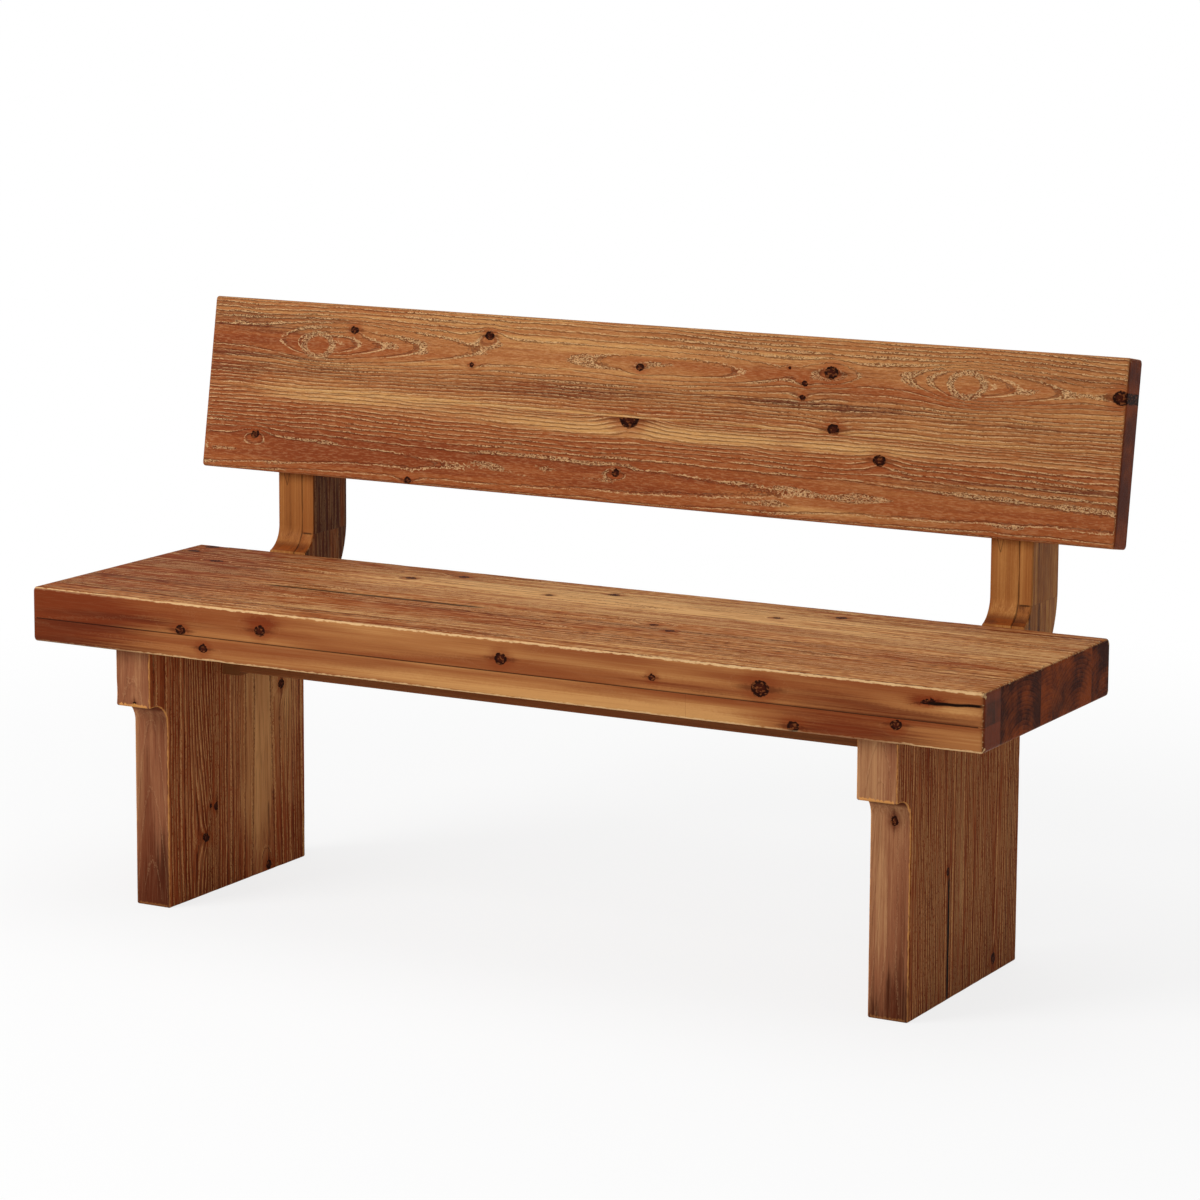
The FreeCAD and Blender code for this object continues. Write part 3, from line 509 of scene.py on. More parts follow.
        height: Value = 0.0
        nicks = add("Math.MULTIPLY", self.rubbed, cloud["nibble"])
        for value, weight in ((self.pale, 0.5), (self.deep, -1.0), (cloud["fibre"], 0.3), (self.crack, -1.6),
                              (bark, -0.6), (nicks, 0.7)):
            height = add("Math.MULTIPLY_ADD", value, weight, height)
        bump = add("Bump", into={"Strength": 0.9, "Distance": finish.relief_mm * MM, "Height": height})
        rough = add("Math.MULTIPLY_ADD", cloud["fibre"], 0.16, finish.roughness - 0.08)
        rough = add("Math.MULTIPLY_ADD", self.end_face, -0.12, rough)
        add("OutputMaterial", add("BsdfPrincipled", into={
            "Base Color": colour, "Roughness": rough, "IOR": finish.ior, "Normal": bump,
            "Specular IOR Level": finish.gloss}))


# Wire-brushed pine of the back: ring lines stand out as dark grooves with a dotted pale side, partly
# painted shade in the grooves and a painted highlight on the ridges.
# Its rubbed corners are partly wear and partly a painted highlight on the rounded edges.
BACK_FINISH = BrushedPine(
    "wire_brushed_pine", light="#c69259", mid="#a5683b", dark="#582a1c", red="#904521", cream_and_highlight="#dab280",
    worn="#b98656", end="#552517", ring_mm=3.6, fleck_mm=(9.0, 1.5), dust_mm=(3.0, 1.0), wander_mm=26.0,
    relief_mm=1.0, sand=1.0, streaks=0.2, lines=1.0, groove_shade=0.6, seam=0.0, wear=0.4)
# Brushed pine of the seat, polished by use: broken lines and a dusty grain. Lines and specks are drawn
# about three times as wide as real ones, because the low view would blur them away.
SEAT_FINISH = BrushedPine(
    "trodden_brushed_pine", light="#cf9e66", mid="#a7693b", dark="#5a2612", red="#8a3f1a", cream_and_highlight="#e0b680",
    worn="#dcb582", end="#35120a", ring_mm=3.2, fleck_mm=(50.0, 4.4), line_mm=1.2, tone_mm=(520.0, 8.0),
    dust_mm=(13.0, 5.5), wander_mm=14.0, relief_mm=0.6, streaks=0.36, lines=0.85, dust=1.25, contrast=1.4,
    seam=0.15, wear=0.8, gloss=0.015)
# Planed and stained pine of the seat's nose: smooth, cloudy tones and few lines.
NOSE_FINISH = BrushedPine(
    "planed_stained_pine", light="#bb8751", mid="#9d6438", dark="#5a2613", red="#763317", cream_and_highlight="#d0a878",
    worn="#dcb582", end="#43200f", ring_mm=5.0, fleck_mm=(40.0, 1.8), tone_mm=(260.0, 14.0), wander_mm=12.0,
    streaks=0.2, lines=0.4, dust=0.4, contrast=1.15, seam=0.8, wear=0.8, roughness=0.5, gloss=0.02)
# Combed pine of the legs: close upright lines, pale on brown. They are drawn about twice as wide as real
# ones, because the slanting view would blur them away.
LEG_FINISH = BrushedPine(
    "combed_pine", light="#cf9760", mid="#975332", dark="#451708", red="#8c3d18", cream_and_highlight="#d6a168",
    worn="#d0904e", end="#3f1d10", ring_mm=4.4, fleck_mm=(60.0, 2.3), line_mm=1.3, tone_mm=(700.0, 12.0),
    dust_mm=(13.0, 2.6), wander_mm=18.0, relief_mm=0.6, streaks=0.32, lines=0.9, contrast=1.1, seam=0.4,
    wear=0.75, gloss=0.015)
# Planed and waxed pine of the legs' narrow edges: smooth and brown, with faint arched lines.
LEG_EDGE_FINISH = BrushedPine(
    "planed_waxed_pine", light="#ad7d55", mid="#875338", dark="#3c1b0e", red="#5f2c19", cream_and_highlight="#bd946b",
    worn="#d0904e", end="#3f1d10", ring_mm=4.4, fleck_mm=(40.0, 1.8), tone_mm=(240.0, 18.0), wander_mm=12.0,
    relief_mm=0.3, streaks=0.08, lines=0.25, dust=0.3, wear=0.75, roughness=0.55, gloss=0.02)
# Planed and varnished pine of the posts: honey tones, straight grain and a faint shine.
POST_FINISH = BrushedPine(
    "planed_varnished_pine", light="#c0864a", mid="#9b5f30", dark="#481d0b", red="#8a461c", cream_and_highlight="#c79b69",
    worn="#c39263", end="#4d2818", ring_mm=4.5, fleck_mm=(60.0, 1.8), wander_mm=8.0, relief_mm=0.3, streaks=0.3,
    lines=0.4, dust=0.9, contrast=2.0, roughness=0.42, gloss=0.02)
# Sawn pine of the frame below: plain, dull and a little fuzzy.
FRAME_FINISH = BrushedPine(
    "sawn_pine", light="#9a623a", mid="#7f4b2a", dark="#522814", red="#703618", cream_and_highlight="#b58a58", worn="#94683d",
    end="#7a4c2a", ring_mm=4.5, fleck_mm=(60.0, 1.8), wander_mm=8.0, relief_mm=0.3, lines=0.3)


@dataclass(frozen=True)
class Speckled:
    """Even stuff of a small part, with a fine speckle in its colour and shine.

    Size_mm is the speckle's size along X, Y and Z, share the noise over which the first colour turns into
    the second, and rough the roughness of each.
    """

    name: str
    first: str
    second: str
    size_mm: Triple
    detail: float
    share: Pair
    rough: Pair
    metallic: float = 0.0

    def material(self) -> bpy.types.Material:
        """Mixes the finish.

        Returns:
            The material.
        """
        made = bpy.data.materials.new(self.name)
        add = Graph(made).add
        scale = tuple(per_metre(s) for s in self.size_mm)
        place = add("VectorMath.MULTIPLY", add("TexCoord", out="Object"), scale)
        speck = add("TexNoise", place, into={"Scale": 1.0, "Detail": self.detail})
        tints = {MIX_UNDER: linear(self.first), MIX_OVER: linear(self.second)}
        colour = add("Mix", add("MapRange", speck, *self.share), into=tints, out=MIX_OUT, data_type="RGBA")
        rough = add("MapRange", speck, 0.3, 0.7, *self.rough)
        shader = {"Base Color": colour, "Metallic": self.metallic, "Roughness": rough}
        add("OutputMaterial", add("BsdfPrincipled", into=shader))
        return made


# Cold-formed steel, zinc plated: a soft grey shine with a fine mottle.
PLATED_STEEL = Speckled(
    "zinc_plated_steel", "#8d9094", "#b9bcc0", (2.2, 2.2, 2.2), 3.0, (0.0, 1.0), (0.28, 0.46), metallic=1.0)
# Turned beech of the dowels: even pale wood with short dark flecks along the grain.
TURNED_BEECH = Speckled("turned_beech", "#c79b6c", "#a87848", (0.7, 0.7, 4.0), 2.0, (0.4, 0.65), (0.48, 0.6))


def worn_radius(radius: float, travel: float, seed: float) -> float:
    """Radius of a rubbed edge at one place along it.

    Args:
        radius: radius it was eased to.
        travel: metres along the edge.
        seed: place in the noise.
    Returns:
        The radius there, with slow wear and a few nicks.
    """
    slow, quick, nick = (
        noise.noise(Vector((travel / pitch, seed + shift, lane)))
        for pitch, shift, lane in ((0.13, 0.0, 0.3), (0.021, 7.1, 1.9), (0.034, 3.3, 5.2)))
    return radius * (1.0 + 0.2 * slow + 0.12 * quick + 1.1 * max(0.0, nick - 0.34))


def put_mesh(name: str, points: Sequence[Vector], edge: Sequence[float], size: int) -> bpy.types.Object:
    """Makes one smooth-shaded piece, a closed tube of loops.

    Args:
        name: piece's name.
        points: its corners, loop after loop.
        edge: 1 on the crest of a rubbed edge, -1 on a glue seam, 0 elsewhere.
        size: points in a loop.
    Returns:
        The piece.
    """
    last = len(points) - size
    faces = [(k + i, k + (i + 1) % size, k + size + (i + 1) % size, k + size + i)
             for k in range(0, last, size) for i in range(size)]
    faces += [tuple(range(size))[::-1], tuple(range(last, len(points)))]
    mesh = bpy.data.meshes.new(name)
    mesh.from_pydata([tuple(p) for p in points], [], faces)
    layer = mesh.attributes.new("edge", "FLOAT", "POINT")
    layer.data.foreach_set("value", list(edge))
    mesh.shade_smooth()
    mesh.set_sharp_from_angle(angle=SHARP)
    mesh.update()
    piece = bpy.data.objects.new(name, mesh)
    bpy.context.collection.objects.link(piece)
    return piece


class Station(NamedTuple):
    """One loop of a plank: its place, how far the end's easing draws it in, how far it is set inside the
    end face, and how near it is to the crest of the end's rubbed edge, from 0 to 1."""

    travel: float
    inset: float
    inner: float
    rim: float


@dataclass(frozen=True)
class Plank:
    """A straight board lofted along its length, with rubbed outer edges and tight glue seams.

    The sides are numbered round the section: under (0), far edge (1), over (2) and near edge (3).
    """

    size: Triple
    place: Matrix
    glued: tuple[int, ...]
    easing: float
    ends: tuple[bool, bool]
    seed: float
    step: float = 0.006
    band: float = 0.0022
    seam: float = 0.0002
    turns: int = 4
    end_wear: float = 0.62

    def build(self, name: str) -> bpy.types.Object:
        """Lofts the board.

        Args:
            name: piece's name.
        Returns:
            The piece.
        """
        points: list[Vector] = []
        edge: list[float] = []
        stations = self.stations()
        for station in stations:
            for i in range(4):
                for spot, crest in self.corner(i, station):
                    points.append(self.place @ Vector((station.travel, *spot)))
                    edge.append(crest)
        return put_mesh(name, points, edge, len(points) // len(stations))

    def corner(self, i: int, station: Station) -> list[tuple[Pair, float]]:
        """Rounds one corner of the section and starts the side after it.

        Args:
            i: number of the side after the corner.
            station: loop that the corner is in.
        Returns:
            Points of the section, each with its place on a rubbed edge or a seam.
        """
        travel, inset, inner, rim = station
        _, width, thick = self.size
        corners = ((0.0, 0.0), (width, 0.0), (width, thick), (0.0, thick))
        level = i % 2 == 0
        glued = [side in self.glued for side in ((i - 1) % 4, i)]
        if any(glued):
            radius = self.seam * (0.25 if all(glued) else 1.0)
        else:
            radius = max(worn_radius(self.easing, travel, self.seed + i * 11.7), inset * 0.5)
        pull = [inner + (0.0 if stuck else inset) for stuck in glued]
        ways = [1 if c == 0 else -1 for c in corners[i]]
        base = [c + way * p for c, way, p in zip(corners[i], ways, pull if level else pull[::-1])]
        centre = [b + way * radius for b, way in zip(base, ways)]
        rounded: list[tuple[Pair, float]] = []
        for k in range(self.turns + 1):
            turn = math.pi + i * QUARTER + k * QUARTER / self.turns
            crest = max(rim, math.sin(math.pi * k / self.turns)) if rim or not any(glued) else -1.0
            rounded.append(((centre[0] + radius * math.cos(turn), centre[1] + radius * math.sin(turn)),
                            0.0 if inner else crest))

        # Two points keep the side flat right up to its corners.
        lead = 1 if i < 2 else -1
        run, axis = (width, 0) if level else (thick, 1)
        keep = min(self.band, 0.3 * run)
        far = corners[(i + 1) % 4][axis] - lead * (self.easing * 1.4 + keep + inset + inner)
        for spot in (base[axis] + lead * (radius + keep), far):
            flat = (spot, base[1]) if level else (base[0], spot)
            rounded.append((flat, rim if i not in self.glued and not inner else 0.0))
        return rounded

    def stations(self) -> list[Station]:
        """Places along the board.

        Returns:
            Its loops from end to end.
        """
        length = self.size[0]
        ends: list[list[Station]] = []
        for eased in self.ends:
            radius = self.easing if eased else self.seam
            turns = [k * QUARTER / self.turns for k in range(self.turns + 1)]
            arc = [Station(radius * (1 - math.cos(t)), radius * (1 - math.sin(t)), 0.0,
                           eased * self.end_wear * math.sin(2 * t)) for t in turns]
            ends.append([Station(0.0, radius, self.band, 0.0), *arc, Station(radius + self.band, 0.0, 0.0, 0.0)])
        first, last = ends
        low, high = first[-1].travel, length - last[-1].travel
        count = max(1, round((high - low) / self.step))
        middle = [Station(low + (high - low) * k / count, 0.0, 0.0, 0.0) for k in range(1, count)]
        return first + middle + [Station(length - s.travel, *s[1:]) for s in reversed(last)]


class Turn(NamedTuple):
    """One point of a stave's outline, and whether the run after it is glued.

    A point on an eased corner also has the corner's hub and the way inwards from there.
    """

    spot: Vector
    glued: bool
    hub: Vector | None = None
    way: Vector | None = None


@dataclass(frozen=True)
class Stave:
    """An upright board sawn to an outline and glued to its neighbours."""

    outline: tuple[Triple, ...]
    glued: tuple[int, ...]
    sides: Pair
    easing: float
    seed: float
    step: float = 0.006
    band: float = 0.0022
    turns: int = 4
    hollow_from: float = 0.01
    hollow_turns: int = 12

    def trace(self) -> list[Turn]:
        """Follows the outline, rounding each corner to its radius.

        Returns:
            Its points in order.
        """
        count = len(self.outline)
        corners: list[list[Turn]] = []
        for i, (y, z, radius) in enumerate(self.outline):
            here = Vector((y, z))
            stuck = i in self.glued
            if not radius:
                corners.append([Turn(here, stuck)])
                continue
            back, onward = ((Vector(self.outline[k % count][:2]) - here).normalized() for k in (i - 1, i + 1))
            half = back.angle(onward) / 2
            first, last = (here + way * radius / math.tan(half) for way in (back, onward))
            inwards = (back + onward).normalized() / math.sin(half)
            centre = here + inwards * radius
            hollow = radius >= self.hollow_from
            hub = (None, None) if hollow else (centre, inwards)
            turns = self.hollow_turns if hollow else self.turns
            spread = (first - centre).angle_signed(last - centre)
            arms = [Matrix.Rotation(-spread * k / turns, 2) @ (first - centre) for k in range(turns)]
            corners.append([Turn(centre + arm, False, *hub) for arm in arms] + [Turn(last, stuck, *hub)])
        path: list[Turn] = []
        for i, corner in enumerate(corners):
            here, goal = corner[-1].spot, corners[(i + 1) % count][0].spot
            parts = max(1, round((goal - here).length / self.step))
            path += corner + [Turn(here.lerp(goal, k / parts), i in self.glued) for k in range(1, parts)]
        return path

    def build(self, name: str) -> bpy.types.Object:
        """Cuts the stave out and eases its free edges.

        Args:
            name: piece's name.
        Returns:
            The piece.
        """
        path = self.trace()
        count = len(path)
        inward: list[Vector] = []
        full: list[Vector] = []
        bound: list[bool] = []
        for i, here in enumerate(path):
            before, after = path[i - 1], path[(i + 1) % count]
            runs = ((here.spot - before.spot, before.glued), (after.spot - here.spot, here.glued))
            sides = [(Vector((-run.y, run.x)).normalized(), stuck) for run, stuck in runs]
            free = [side for side, stuck in sides if not stuck]
            mitre = (sides[0][0] + sides[1][0]).normalized()
            mitre = mitre / max(0.4, mitre.dot(sides[0][0]))
            full.append(mitre)
            inward.append(mitre if len(free) == 2 else free[0] if free else Vector((0.0, 0.0)))
            bound.append(len(free) < 2)

        def inset(i: int, step: float, band: float = 0.0) -> Vector:
            """Draws a point of the outline inwards; an eased corner shrinks to its hub and goes on from there.

            Args:
                i: number of the point.
                step: how far the easing draws it in.
                band: how far it goes beyond that.
            Returns:
                The new place.
            """
            spot, _, hub, way = path[i]
            if hub is None:
                return spot + inward[i] * step + full[i] * band
            left = max(0.1, 1.0 - (step + band) / self.easing)
            return hub + (spot - hub) * left + way * max(0.0, step + band - 0.9 * self.easing)

        arc = [k * QUARTER / self.turns for k in range(self.turns + 1)]
        flat: list[tuple[Vector, float]] = []
        for face, sign in zip(self.sides, (1.0, -1.0)):
            radii: list[float] = []
            travel = 0.0
            for i, here in enumerate(path):
                travel += (here.spot - path[i - 1].spot).length
                worn = worn_radius(self.easing, travel, self.seed + sign * 5.3)
                radii.append(worn if here.hub is None else self.easing)
            loops = [[(Vector((face, *inset(i, r, self.band))), 0.0) for i, r in enumerate(radii)]]
            for turn in arc:
                loops.append([
                    (Vector((face + sign * r * (1 - math.cos(turn)), *inset(i, r * (1 - math.sin(turn))))),
                     -1.0 if bound[i] else math.sin(2 * turn)) for i, r in enumerate(radii)])
            loops.append([(Vector((face + sign * (r + self.band), *here.spot)), float(here.hub is not None))
                          for here, r in zip(path, radii)])
            flat += [pair for loop in (loops if sign > 0 else loops[::-1]) for pair in loop]
        return put_mesh(name, [p for p, _ in flat], [e for _, e in flat], count)


def fit(piece: bpy.types.Object, node: str, material: bpy.types.Material) -> None:
    """Dresses a piece and lets it stand for its CAD node.

    Args:
        piece: the piece.
        node: CAD node it replaces.
        material: its finish.
    """
    piece.data.materials.append(material)
    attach(piece, "root")
    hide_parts(node)
    log.info("%s stands for %s in %s", piece.name, node, material.name)


def dress(node: str, material: bpy.types.Material) -> None:
    """Gives a CAD node its finish.

    Args:
        node: CAD node.
        material: its finish.
    """
    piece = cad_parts[node]
    if not piece.material_slots:
        piece.data.materials.append(material)
    for place in piece.material_slots:
        place.material = material
    log.info("%s wears %s", node, material.name)


def face_finish(piece: bpy.types.Object, material: bpy.types.Material, way: Vector, least: float) -> None:
    """Gives the long faces that look one way a finish of their own.

    Args:
        piece: the piece.
        material: finish of those faces.
        way: direction they look in.
        least: least cosine between a face's normal and that direction.
    """
    piece.data.materials.append(material)
    for face in piece.data.polygons:
        face.material_index = int(face.normal.dot(way) > least and abs(face.normal.x) < SIDEWAYS)


# Marks on the seat's nose, by place along the bench and height.
NOSE_MARKS = marks_from({
    KNOT: ((-491, 432, 7), (-452, 409, 6), (-355, 444, 7.5), (36, 444, 8), (270, 442, 4.5), (431, 444, 11),
           (480, 398, 7.5), (628, 417, 7), (672, 452, 11, 3.4, 1.0, 0.2)),
    CRACK: ((710, 452, 42, 3.0, 1.0, 0.04),),
    STAIN: ((-352, 456, 26, 9, 0.9), (-760, 430, 230, 70, 1.3), (600, 440, 190, 20, 0.72),
            (540, 402, 130, 16), (300, 436, 150, 9, 0.5), (672, 452, 26, 7, 1.2)),
    STREAK: ((60, 398, 460, 12, 0.35), (690, 446, 90, 9, 0.6), (380, 400, 70, 14, 0.2)),
})
# Marks on the seat's top, by place along the bench and from front to back, with shallow knots.
TOP_MARKS = marks_from({
    KNOT: ((-719, 140, 9), (-722, 96, 8), (-643, 40, 8), (-315, 65, 7), (-252, 112, 7), (-71, 48, 5),
           (9, 96, 7), (167, -77, 6), (207, -105, 6), (369, 102, 7), (291, 56, 5)),
    STREAK: ((190, 30, 320, 9, 0.7, -0.1), (60, 70, 380, 60, 0.6)),
    STAIN: ((-690, 0, 230, 220, 1.1), (120, -150, 460, 60, 0.2)),
    CRACK: ((-285, -87, 200, 6.5, 0.8), (-285, -86, 200, 6.5, 0.8)),
}, knot_depth=471.0)
# Marks on the back, by place along the bench and up the slope.
BACK_MARKS = marks_from({
    KNOT: ((-494, 224, 5.5), (-258, 230, 6.5), (-285, 185, 3), (-3, 200, 5.5), (-657, 55, 6),
           (-13, 124, 13), (-28, 44, 5.5), (304, 212, 9), (264, 194, 4), (262, 174, 4), (238, 215, 2),
           (314, 132, 8), (390, 94, 8), (742, 206, 10), (-380, 6, 5)),
    STAIN: ((-735, 170, 70, 90, 0.4), (-440, 46, 240, 32), (-20, 40, 190, 26, 0.55),
            (-120, 158, 200, 9, 0.6), (330, 160, 180, 8, 0.6), (-640, 205, 180, 60, 0.42),
            (-620, 60, 170, 60, 0.3), (242, 109, 26, 8, 0.6), (218, 8, 24, 10, 0.7)),
    STREAK: ((300, 14, 150, 14, 0.5), (-100, 215, 260, 30, 0.25), (-400, 122, 300, 13, 0.8),
             (350, 112, 380, 15, 0.6), (60, 108, 640, 15, 0.55)),
    SWELL: ((-545, 198, 58, 24, 9), (-470, 200, 130, 30, 9), (520, 209, 56, 24, 9),
            (590, 206, 120, 30, 9), (60, 200, 150, 24, 6)),
    EYE: ((-557, 198, 21, 14), (513, 209, 21, 14)),
})
# Marks of the legs' broad faces, by height and from front to back.
LEG_MARKS = {
    Side.LEFT: marks_from({
        KNOT: ((128, -83, 6, 8), (131, -99, 3, 3.5), (87, -112, 6, 9, 1.0, 0.5), (282, 91, 7, 8),
               (9, 54, 7, 7)),
        STAIN: ((87, -112, 40, 12, 0.5),),
        CRACK: ((60, 54, 52, 1.4, 0.7),),
        STREAK: ((190, 26, 340, 44, 0.75), (300, 112, 190, 40, 0.5)),
        SWELL: ((110, -112, 130, 26, 12),),
    }),
    Side.RIGHT: marks_from({
        KNOT: ((22, 75, 7), (180, -84, 5)),
        CRACK: ((84, -80, 96, 4.8), (150, 117, 150, 1.1, 0.5)),
    }),
}
# Darkening towards the foot of each leg.
FOOT_MARKS = marks_from({STAIN: [(-20, y, 110, 90, 0.5) for y in (-190, 0, 140)]})
# Marks of the legs' narrow edges, by height and along the bench.
LEG_EDGE_MARKS = {
    Side.LEFT: marks_from({
        KNOT: ((309, -589, 5, 3),),
        STAIN: ((150, -578, 190, 18, 0.3), (-10, -590, 95, 60, 0.9), (350, -566, 60, 14, 0.3)),
        STREAK: ((340, -600, 90, 40, 0.1),),
    }),
    Side.RIGHT: marks_from({
        KNOT: ((272, 597, 7, 5),),
        SWELL: ((240, 597, 120, 14, 9),),
        STREAK: ((330, 585, 120, 40, 0.2),),
        STAIN: ((-10, 590, 80, 60, 0.7), (120, 612, 140, 12, 0.3)),
    }),
}


@dataclass(frozen=True)
class Seat:
    """Thick seat of seven glued boards with a deep nose in front."""

    easing: float = 0.005
    ruddy: float = 0.06

    def build(self) -> None:
        """Lofts the boards and dresses them."""
        face = {"along": X, "across": Z, "broad": Z, "origin": ORIGIN, "ruddy": self.ruddy}
        level = {**face, "across": Y}
        # Name, glued sides, free ends, then the heart, the seed and the tone of the grain.
        fronts = (
            ("seat_nose_upper", (0, 1), (True, True), (470, -300), 2.0, 0.08),
            ("seat_nose_lower_left", (1, 2), (True, False), (360, -330), 5.0, 0.1),
            ("seat_nose_lower_right", (1, 2), (False, True), (360, -330), 5.0, 0.1),
        )
        boards = (
            ("seat_board_front", (1, 3), (True, True), (-150, 350), 11.0, -0.04),
            ("seat_board_middle", (1, 3), (True, True), (-60, 330), 14.0, 0.04),
            ("seat_board_rear", (1, 3), (True, True), (40, 360), 17.0, 0.1),
            ("seat_board_back", (3,), (True, True), (140, 340), 20.0, -0.04),
        )
        for rows, finish, marks, axes in (
            (fronts, NOSE_FINISH, NOSE_MARKS, face), (boards, SEAT_FINISH, TOP_MARKS, level),
        ):
            for node, glued, ends, heart, seed, tone in rows:
                low, high = (Vector(c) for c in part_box(node))
                near = marks_within(marks, *(1000 * c.dot(axes["across"]) for c in (low, high)))
                grain = Grain(**axes, heart=heart, seed=seed, marks=near, tone=tone)
                plank = Plank(tuple(high - low), Matrix.Translation(low), glued, self.easing, ends, seed)
                piece = plank.build(f"{node}_worn")
                fit(piece, node, finish.material(node, grain))
                if node == "seat_nose_upper":
                    near = marks_within(TOP_MARKS, -275, -220)
                    sat_on = Grain(**level, heart=(-250, 350), seed=23.0, marks=near, tone=-0.04)
                    face_finish(piece, SEAT_FINISH.material("seat_nose_top", sat_on), Z, TOP_FACING)


@dataclass(frozen=True)
class Backrest:
    """Two wide boards glued edge to edge, leaning back on the posts."""

    length: float = 1.5
    foot: Pair = (0.1595, 0.593)
    lean: float = 9.5
    height: float = 0.262
    seam: float = 0.1258
    thick: float = 0.048
    easing: float = 0.004

    def build(self) -> None:
        """Lofts the boards on the slope and dresses them."""
        lean = math.radians(self.lean)
        up = Vector((0.0, math.sin(lean), math.cos(lean)))
        back = Vector((0.0, math.cos(lean), -math.sin(lean)))
        foot = Vector((0.0, *self.foot))
        seam = self.seam * 1000
        # Name, start and width up the slope, glued side, then the marks' range, heart, seed, tone and redness.
        boards = (
            ("back_board_lower", 0.0, self.seam, (1,), (-10, seam), (35, 80), 31.0, -0.02, 0.26),
            ("back_board_upper", self.seam, self.height - self.seam, (3,), (seam, 270), (208, 75), 36.0, 0.02, 0.05),
        )
        for node, start, width, glued, reach, heart, seed, tone, ruddy in boards:
            grain = Grain(X, up, back, foot, heart, seed, marks_within(BACK_MARKS, *reach), tone, ruddy)
            corner = foot + up * start - X * self.length / 2
            place = Matrix.Translation(corner) @ Matrix((X, up, -back)).transposed().to_4x4()
            place = place @ Matrix.Translation((0, 0, -self.thick))
            plank = Plank((self.length, width, self.thick), place, glued, self.easing, (True, True), seed)
            piece = plank.build(f"{node}_worn")
            fit(piece, node, BACK_FINISH.material(node, grain))
            if node == "back_board_upper":
                crown = Grain(X, back, up, foot, (-60, 150), 39.0, tone=0.02, ruddy=0.08)
                face_finish(piece, BACK_FINISH.material("back_top_edge", crown), up, TOP_FACING)


class StavePlace(Enum):
    """Staves of a leg, from front to back."""

    FRONT = "front"
    MIDDLE = "middle"
    REAR = "rear"


@dataclass(frozen=True)
class Leg:
    """Broad leg of three upright staves; the front one swells to a head under the seat's nose.

    Over_mm is how far a mark may lie beyond a stave's seam, and core_mm how deep the heart lies behind a
    planed edge.
    """

    side: Side
    foot_front: float = -0.2065
    head_bottom: float = 0.305
    hollow: float = 0.031
    easing: float = 0.003
    ruddy: float = 0.24
    over_mm: float = 3.0
    core_mm: float = 90.0

    def build(self) -> None:
        """Cuts the staves, dresses them and gives the outer edges their planed finish."""
        left = self.side is Side.LEFT
        ease = self.easing
        hearts, depth = ((-260, 40, 60), 700) if left else ((-330, 210, 300), -720)
        rows = zip(StavePlace, ((0, 1), (0, 1, 2), (1, 2)), hearts, (-0.04, 0.0, -0.1))
        for i, (place, glued, heart, tone) in enumerate(rows):
            node = f"leg_{self.side.value}_{place.value}"
            low, high = (Vector(c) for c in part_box(node))
            first, last = place is StavePlace.FRONT, place is StavePlace.REAR
            outline = ((high.y, low.z, ease if last else 0), (high.y, high.z, 0), (low.y, high.z, 0))
            outline += (
                (low.y, self.head_bottom, ease), (self.foot_front, self.head_bottom, self.hollow),
                (self.foot_front, low.z, ease),
            ) if first else ((low.y, low.z, 0),)
            seed = 41.0 + 3 * i + 20 * left
            front_mm, back_mm = low.y * 1000, high.y * 1000
            near = marks_within(LEG_MARKS[self.side] + FOOT_MARKS, front_mm - self.over_mm, back_mm + self.over_mm)
            grain = Grain(Z, Y, X, ORIGIN, (heart, depth), seed, near, tone, self.ruddy)
            piece = Stave(outline, glued, (low.x, high.x), ease, seed).build(f"{node}_worn")
            fit(piece, node, LEG_FINISH.material(node, grain))
            if not first and not last:
                continue
            way, core, seed = (-Y, front_mm + self.core_mm, 61.0) if first else (Y, back_mm - self.core_mm, 71.0)
            near = tuple(m for m in LEG_EDGE_MARKS[self.side] if first or m.kind is STAIN)
            planed = Grain(Z, X, Y, ORIGIN, ((low.x + high.x) * 500, core), seed + 5 * left, near,
                           tone=0.03 if left else 0.09, taper=0.04)
            face_finish(piece, LEG_EDGE_FINISH.material(f"{node}_edge", planed), way, EDGE_FACING)


@dataclass(frozen=True)
class Post:
    """Curved post that carries the backrest, glued up from a wide stave and a slim one."""

    side: Side

    def build(self) -> None:
        """Dresses the post's three pieces, with dark lines at their joints and a dark flame above."""
        left = self.side is Side.LEFT
        name = f"post_{self.side.value}"
        shift = 80.0 if left else 60.0
        # The left main stave's tone is raised partly as a painted highlight on its bend.
        tones = (0.2, 0.08, 0.1) if left else (0.11, 0.0, 0.04)
        # Painted shade: the left post's slim staves are darkened on their faces that look sideways.
        painted_shade = (0.0, -1.1, -1.1) if left else (0.0, 0.0, 0.0)
        seam, _, joint = (1000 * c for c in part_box(f"{name}_side_upper")[0])
        marks = marks_from({CRACK: (
            (600, seam, 230, 1.6, 0.6), (joint, seam + 10, 1.3, 12, 0.7),
            (582, seam - 31, 13, 0.9, 0.5, -0.25), (582, seam - 25, 13, 0.9, 0.5, 0.25))})
        for i, stave in enumerate(("main", "side_lower", "side_upper")):
            heart = ((590, 610, 560)[i], -400 + 40 * i)
            grain = Grain(Z, X, X, ORIGIN, heart, shift + 3 * i, marks, tones[i], painted_broad_shade=painted_shade[i])
            dress(f"{name}_{stave}", POST_FINISH.material(f"{name}_{stave}", grain))


@dataclass(frozen=True)
class UnderFrame:
    """Stretcher and cleats that tie the legs under the seat."""

    heart: Pair = (300.0, 200.0)

    def build(self) -> None:
        """Dresses the rails."""
        for i, (node, along) in enumerate((("stretcher", X), ("cleat_left", Y), ("cleat_right", Y))):
            dress(node, FRAME_FINISH.material(node, Grain(along, Z, Z, ORIGIN, self.heart, 90.0 + 4 * i)))


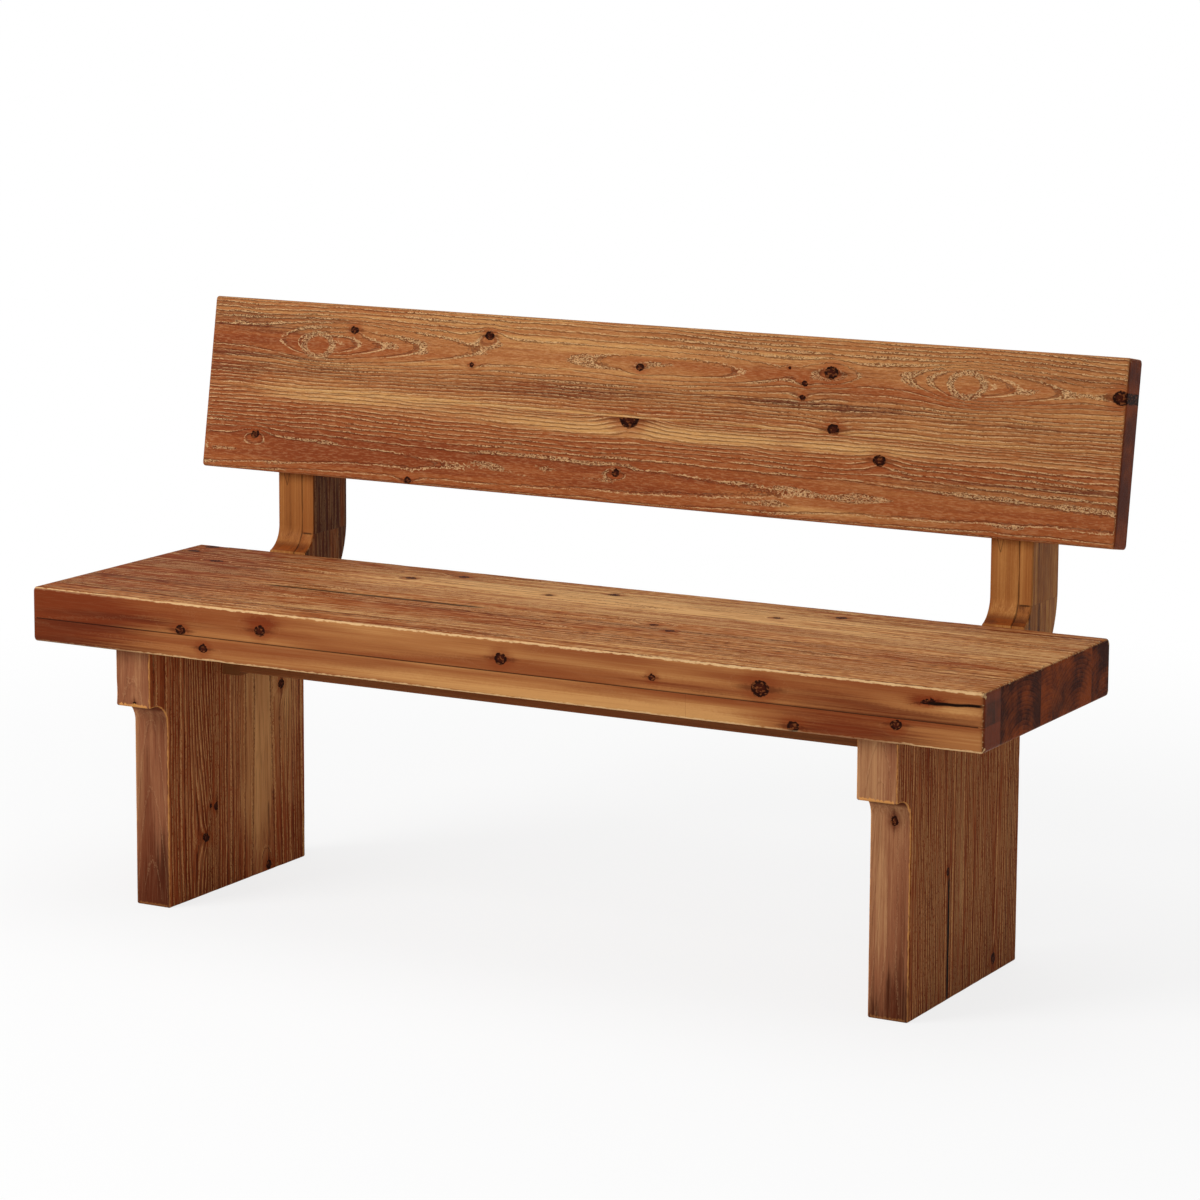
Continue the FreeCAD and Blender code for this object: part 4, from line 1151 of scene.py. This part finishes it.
@dataclass(frozen=True)
class Hardware:
    """Screws, bolts, washers and inserts of plated steel, and the beech dowels of the legs."""

    steel: tuple[str, ...] = ("post_screws", "post_washers", "back_screws", "cleat_screws", "cleat_bolts",
                              "cleat_washers", "cleat_inserts", "stretcher_screws")

    def build(self) -> None:
        """Dresses the fasteners."""
        plated = PLATED_STEEL.material()
        for node in self.steel:
            dress(node, plated)
        dress("leg_dowels", TURNED_BEECH.material())


@dataclass(frozen=True)
class Studio:
    """Pale floor, soft lamps and the camera."""

    focus: Triple = (0.0709, -0.0595, 0.6641)
    azimuth: float = 28.89
    elevation: float = 8.77
    roll: float = 0.311
    distance: float = 5.644
    lens: float = 121.59
    sensor: float = 36.0
    shift_y: float = -0.1
    floor_half: float = 70.0
    lamp_aim: Triple = (0.0, 0.0, 0.4)
    ambient: float = 0.34

    def build(self) -> None:
        """Sets the floor, the lamps, the sky and the camera."""
        self.floor()
        self.lamps()
        self.sky()
        self.camera()

    @staticmethod
    def seen(add: Callable[..., Socket]) -> Socket:
        """Tells the rays that show the background: to the eye, in a reflection or through glass."""
        eye, shine, glass = (add("LightPath", out=f"Is {kind} Ray") for kind in ("Camera", "Glossy", "Transmission"))
        return add("Math.MAXIMUM", add("Math.MAXIMUM", eye, shine), glass)

    def floor(self) -> None:
        """Lays a pale floor that stays white to the eye, takes a soft shadow and is clear from below."""
        mesh = bpy.data.meshes.new("pale_floor")
        half = self.floor_half
        mesh.from_pydata([(-half, -half, 0), (half, -half, 0), (half, half, 0), (-half, half, 0)], [], [(0, 1, 2, 3)])
        plane = bpy.data.objects.new("pale_floor", mesh)
        bpy.context.collection.objects.link(plane)
        made = bpy.data.materials.new("matt_white_paper")
        add = Graph(made).add
        paper = add("BsdfDiffuse", linear("#f4f4f4"))
        white = add("Emission", linear("#ffffff"), 1.0)
        away = add("VectorMath.LENGTH", add("TexCoord", out="Object"), out="Value")
        share = add("MapRange", away, 0.7, 2.6, 0.8, 1.0, **SOFT)
        shown = add("Math.MULTIPLY", self.seen(add), share)
        upper = add("MixShader", shown, paper, white)
        under = add("NewGeometry", out="Backfacing")
        add("OutputMaterial", add("MixShader", under, upper, add("BsdfTransparent")))
        mesh.materials.append(made)

    def lamps(self) -> None:
        """Hangs soft square lamps, with their size in metres and power in watts, turned to the bench."""
        for name, place, size, power in (
            ("window_key", (-2.6, -3.4, 3.0), 2.4, 150.0),
            ("front_fill", (1.6, -4.6, 1.3), 2.6, 36.0),
            ("top_soft", (0.2, 0.4, 3.6), 2.6, 38.0),
        ):
            data = bpy.data.lights.new(name, "AREA")
            data.shape, data.size, data.energy = "SQUARE", size, power
            lamp = bpy.data.objects.new(name, data)
            lamp.location = place
            lamp.rotation_euler = (Vector(self.lamp_aim) - Vector(place)).to_track_quat("-Z", "Y").to_euler()
            bpy.context.collection.objects.link(lamp)

    def sky(self) -> None:
        """Makes the world white to the eye and a soft grey as light."""
        world = bpy.data.worlds.new("white_room")
        bpy.context.scene.world = world
        add = Graph(world).add
        strength = add("MapRange", self.seen(add), 0.0, 1.0, self.ambient, 1.0)
        add("OutputWorld", add("Background", linear("#ffffff"), strength))

    def camera(self) -> None:
        """Stands the camera at the photograph's viewing angle."""
        data = bpy.data.cameras.new("photo_camera")
        data.lens, data.sensor_width, data.shift_y = self.lens, self.sensor, self.shift_y
        around, above = math.radians(self.azimuth), math.radians(self.elevation)
        arm = Vector((math.sin(around) * math.cos(above), -math.cos(around) * math.cos(above), math.sin(above)))
        camera = bpy.data.objects.new("photo_camera", data)
        camera.location = Vector(self.focus) + arm * self.distance
        turn = (-arm).to_track_quat("-Z", "Y").to_matrix() @ Matrix.Rotation(math.radians(self.roll), 3, "Z")
        camera.rotation_euler = turn.to_euler()
        bpy.context.collection.objects.link(camera)
        bpy.context.scene.camera = camera


def main() -> None:
    """Builds the bench's pieces in order and sets the studio."""
    logging.basicConfig(level=logging.INFO, format="%(message)s")
    bpy.context.scene.view_settings.view_transform = "Standard"
    for assembly in (Seat(), Backrest(), Leg(Side.LEFT), Leg(Side.RIGHT), Post(Side.LEFT), Post(Side.RIGHT),
                     UnderFrame(), Hardware(), Studio()):
        assembly.build()


if __name__ == "__main__":
    main()
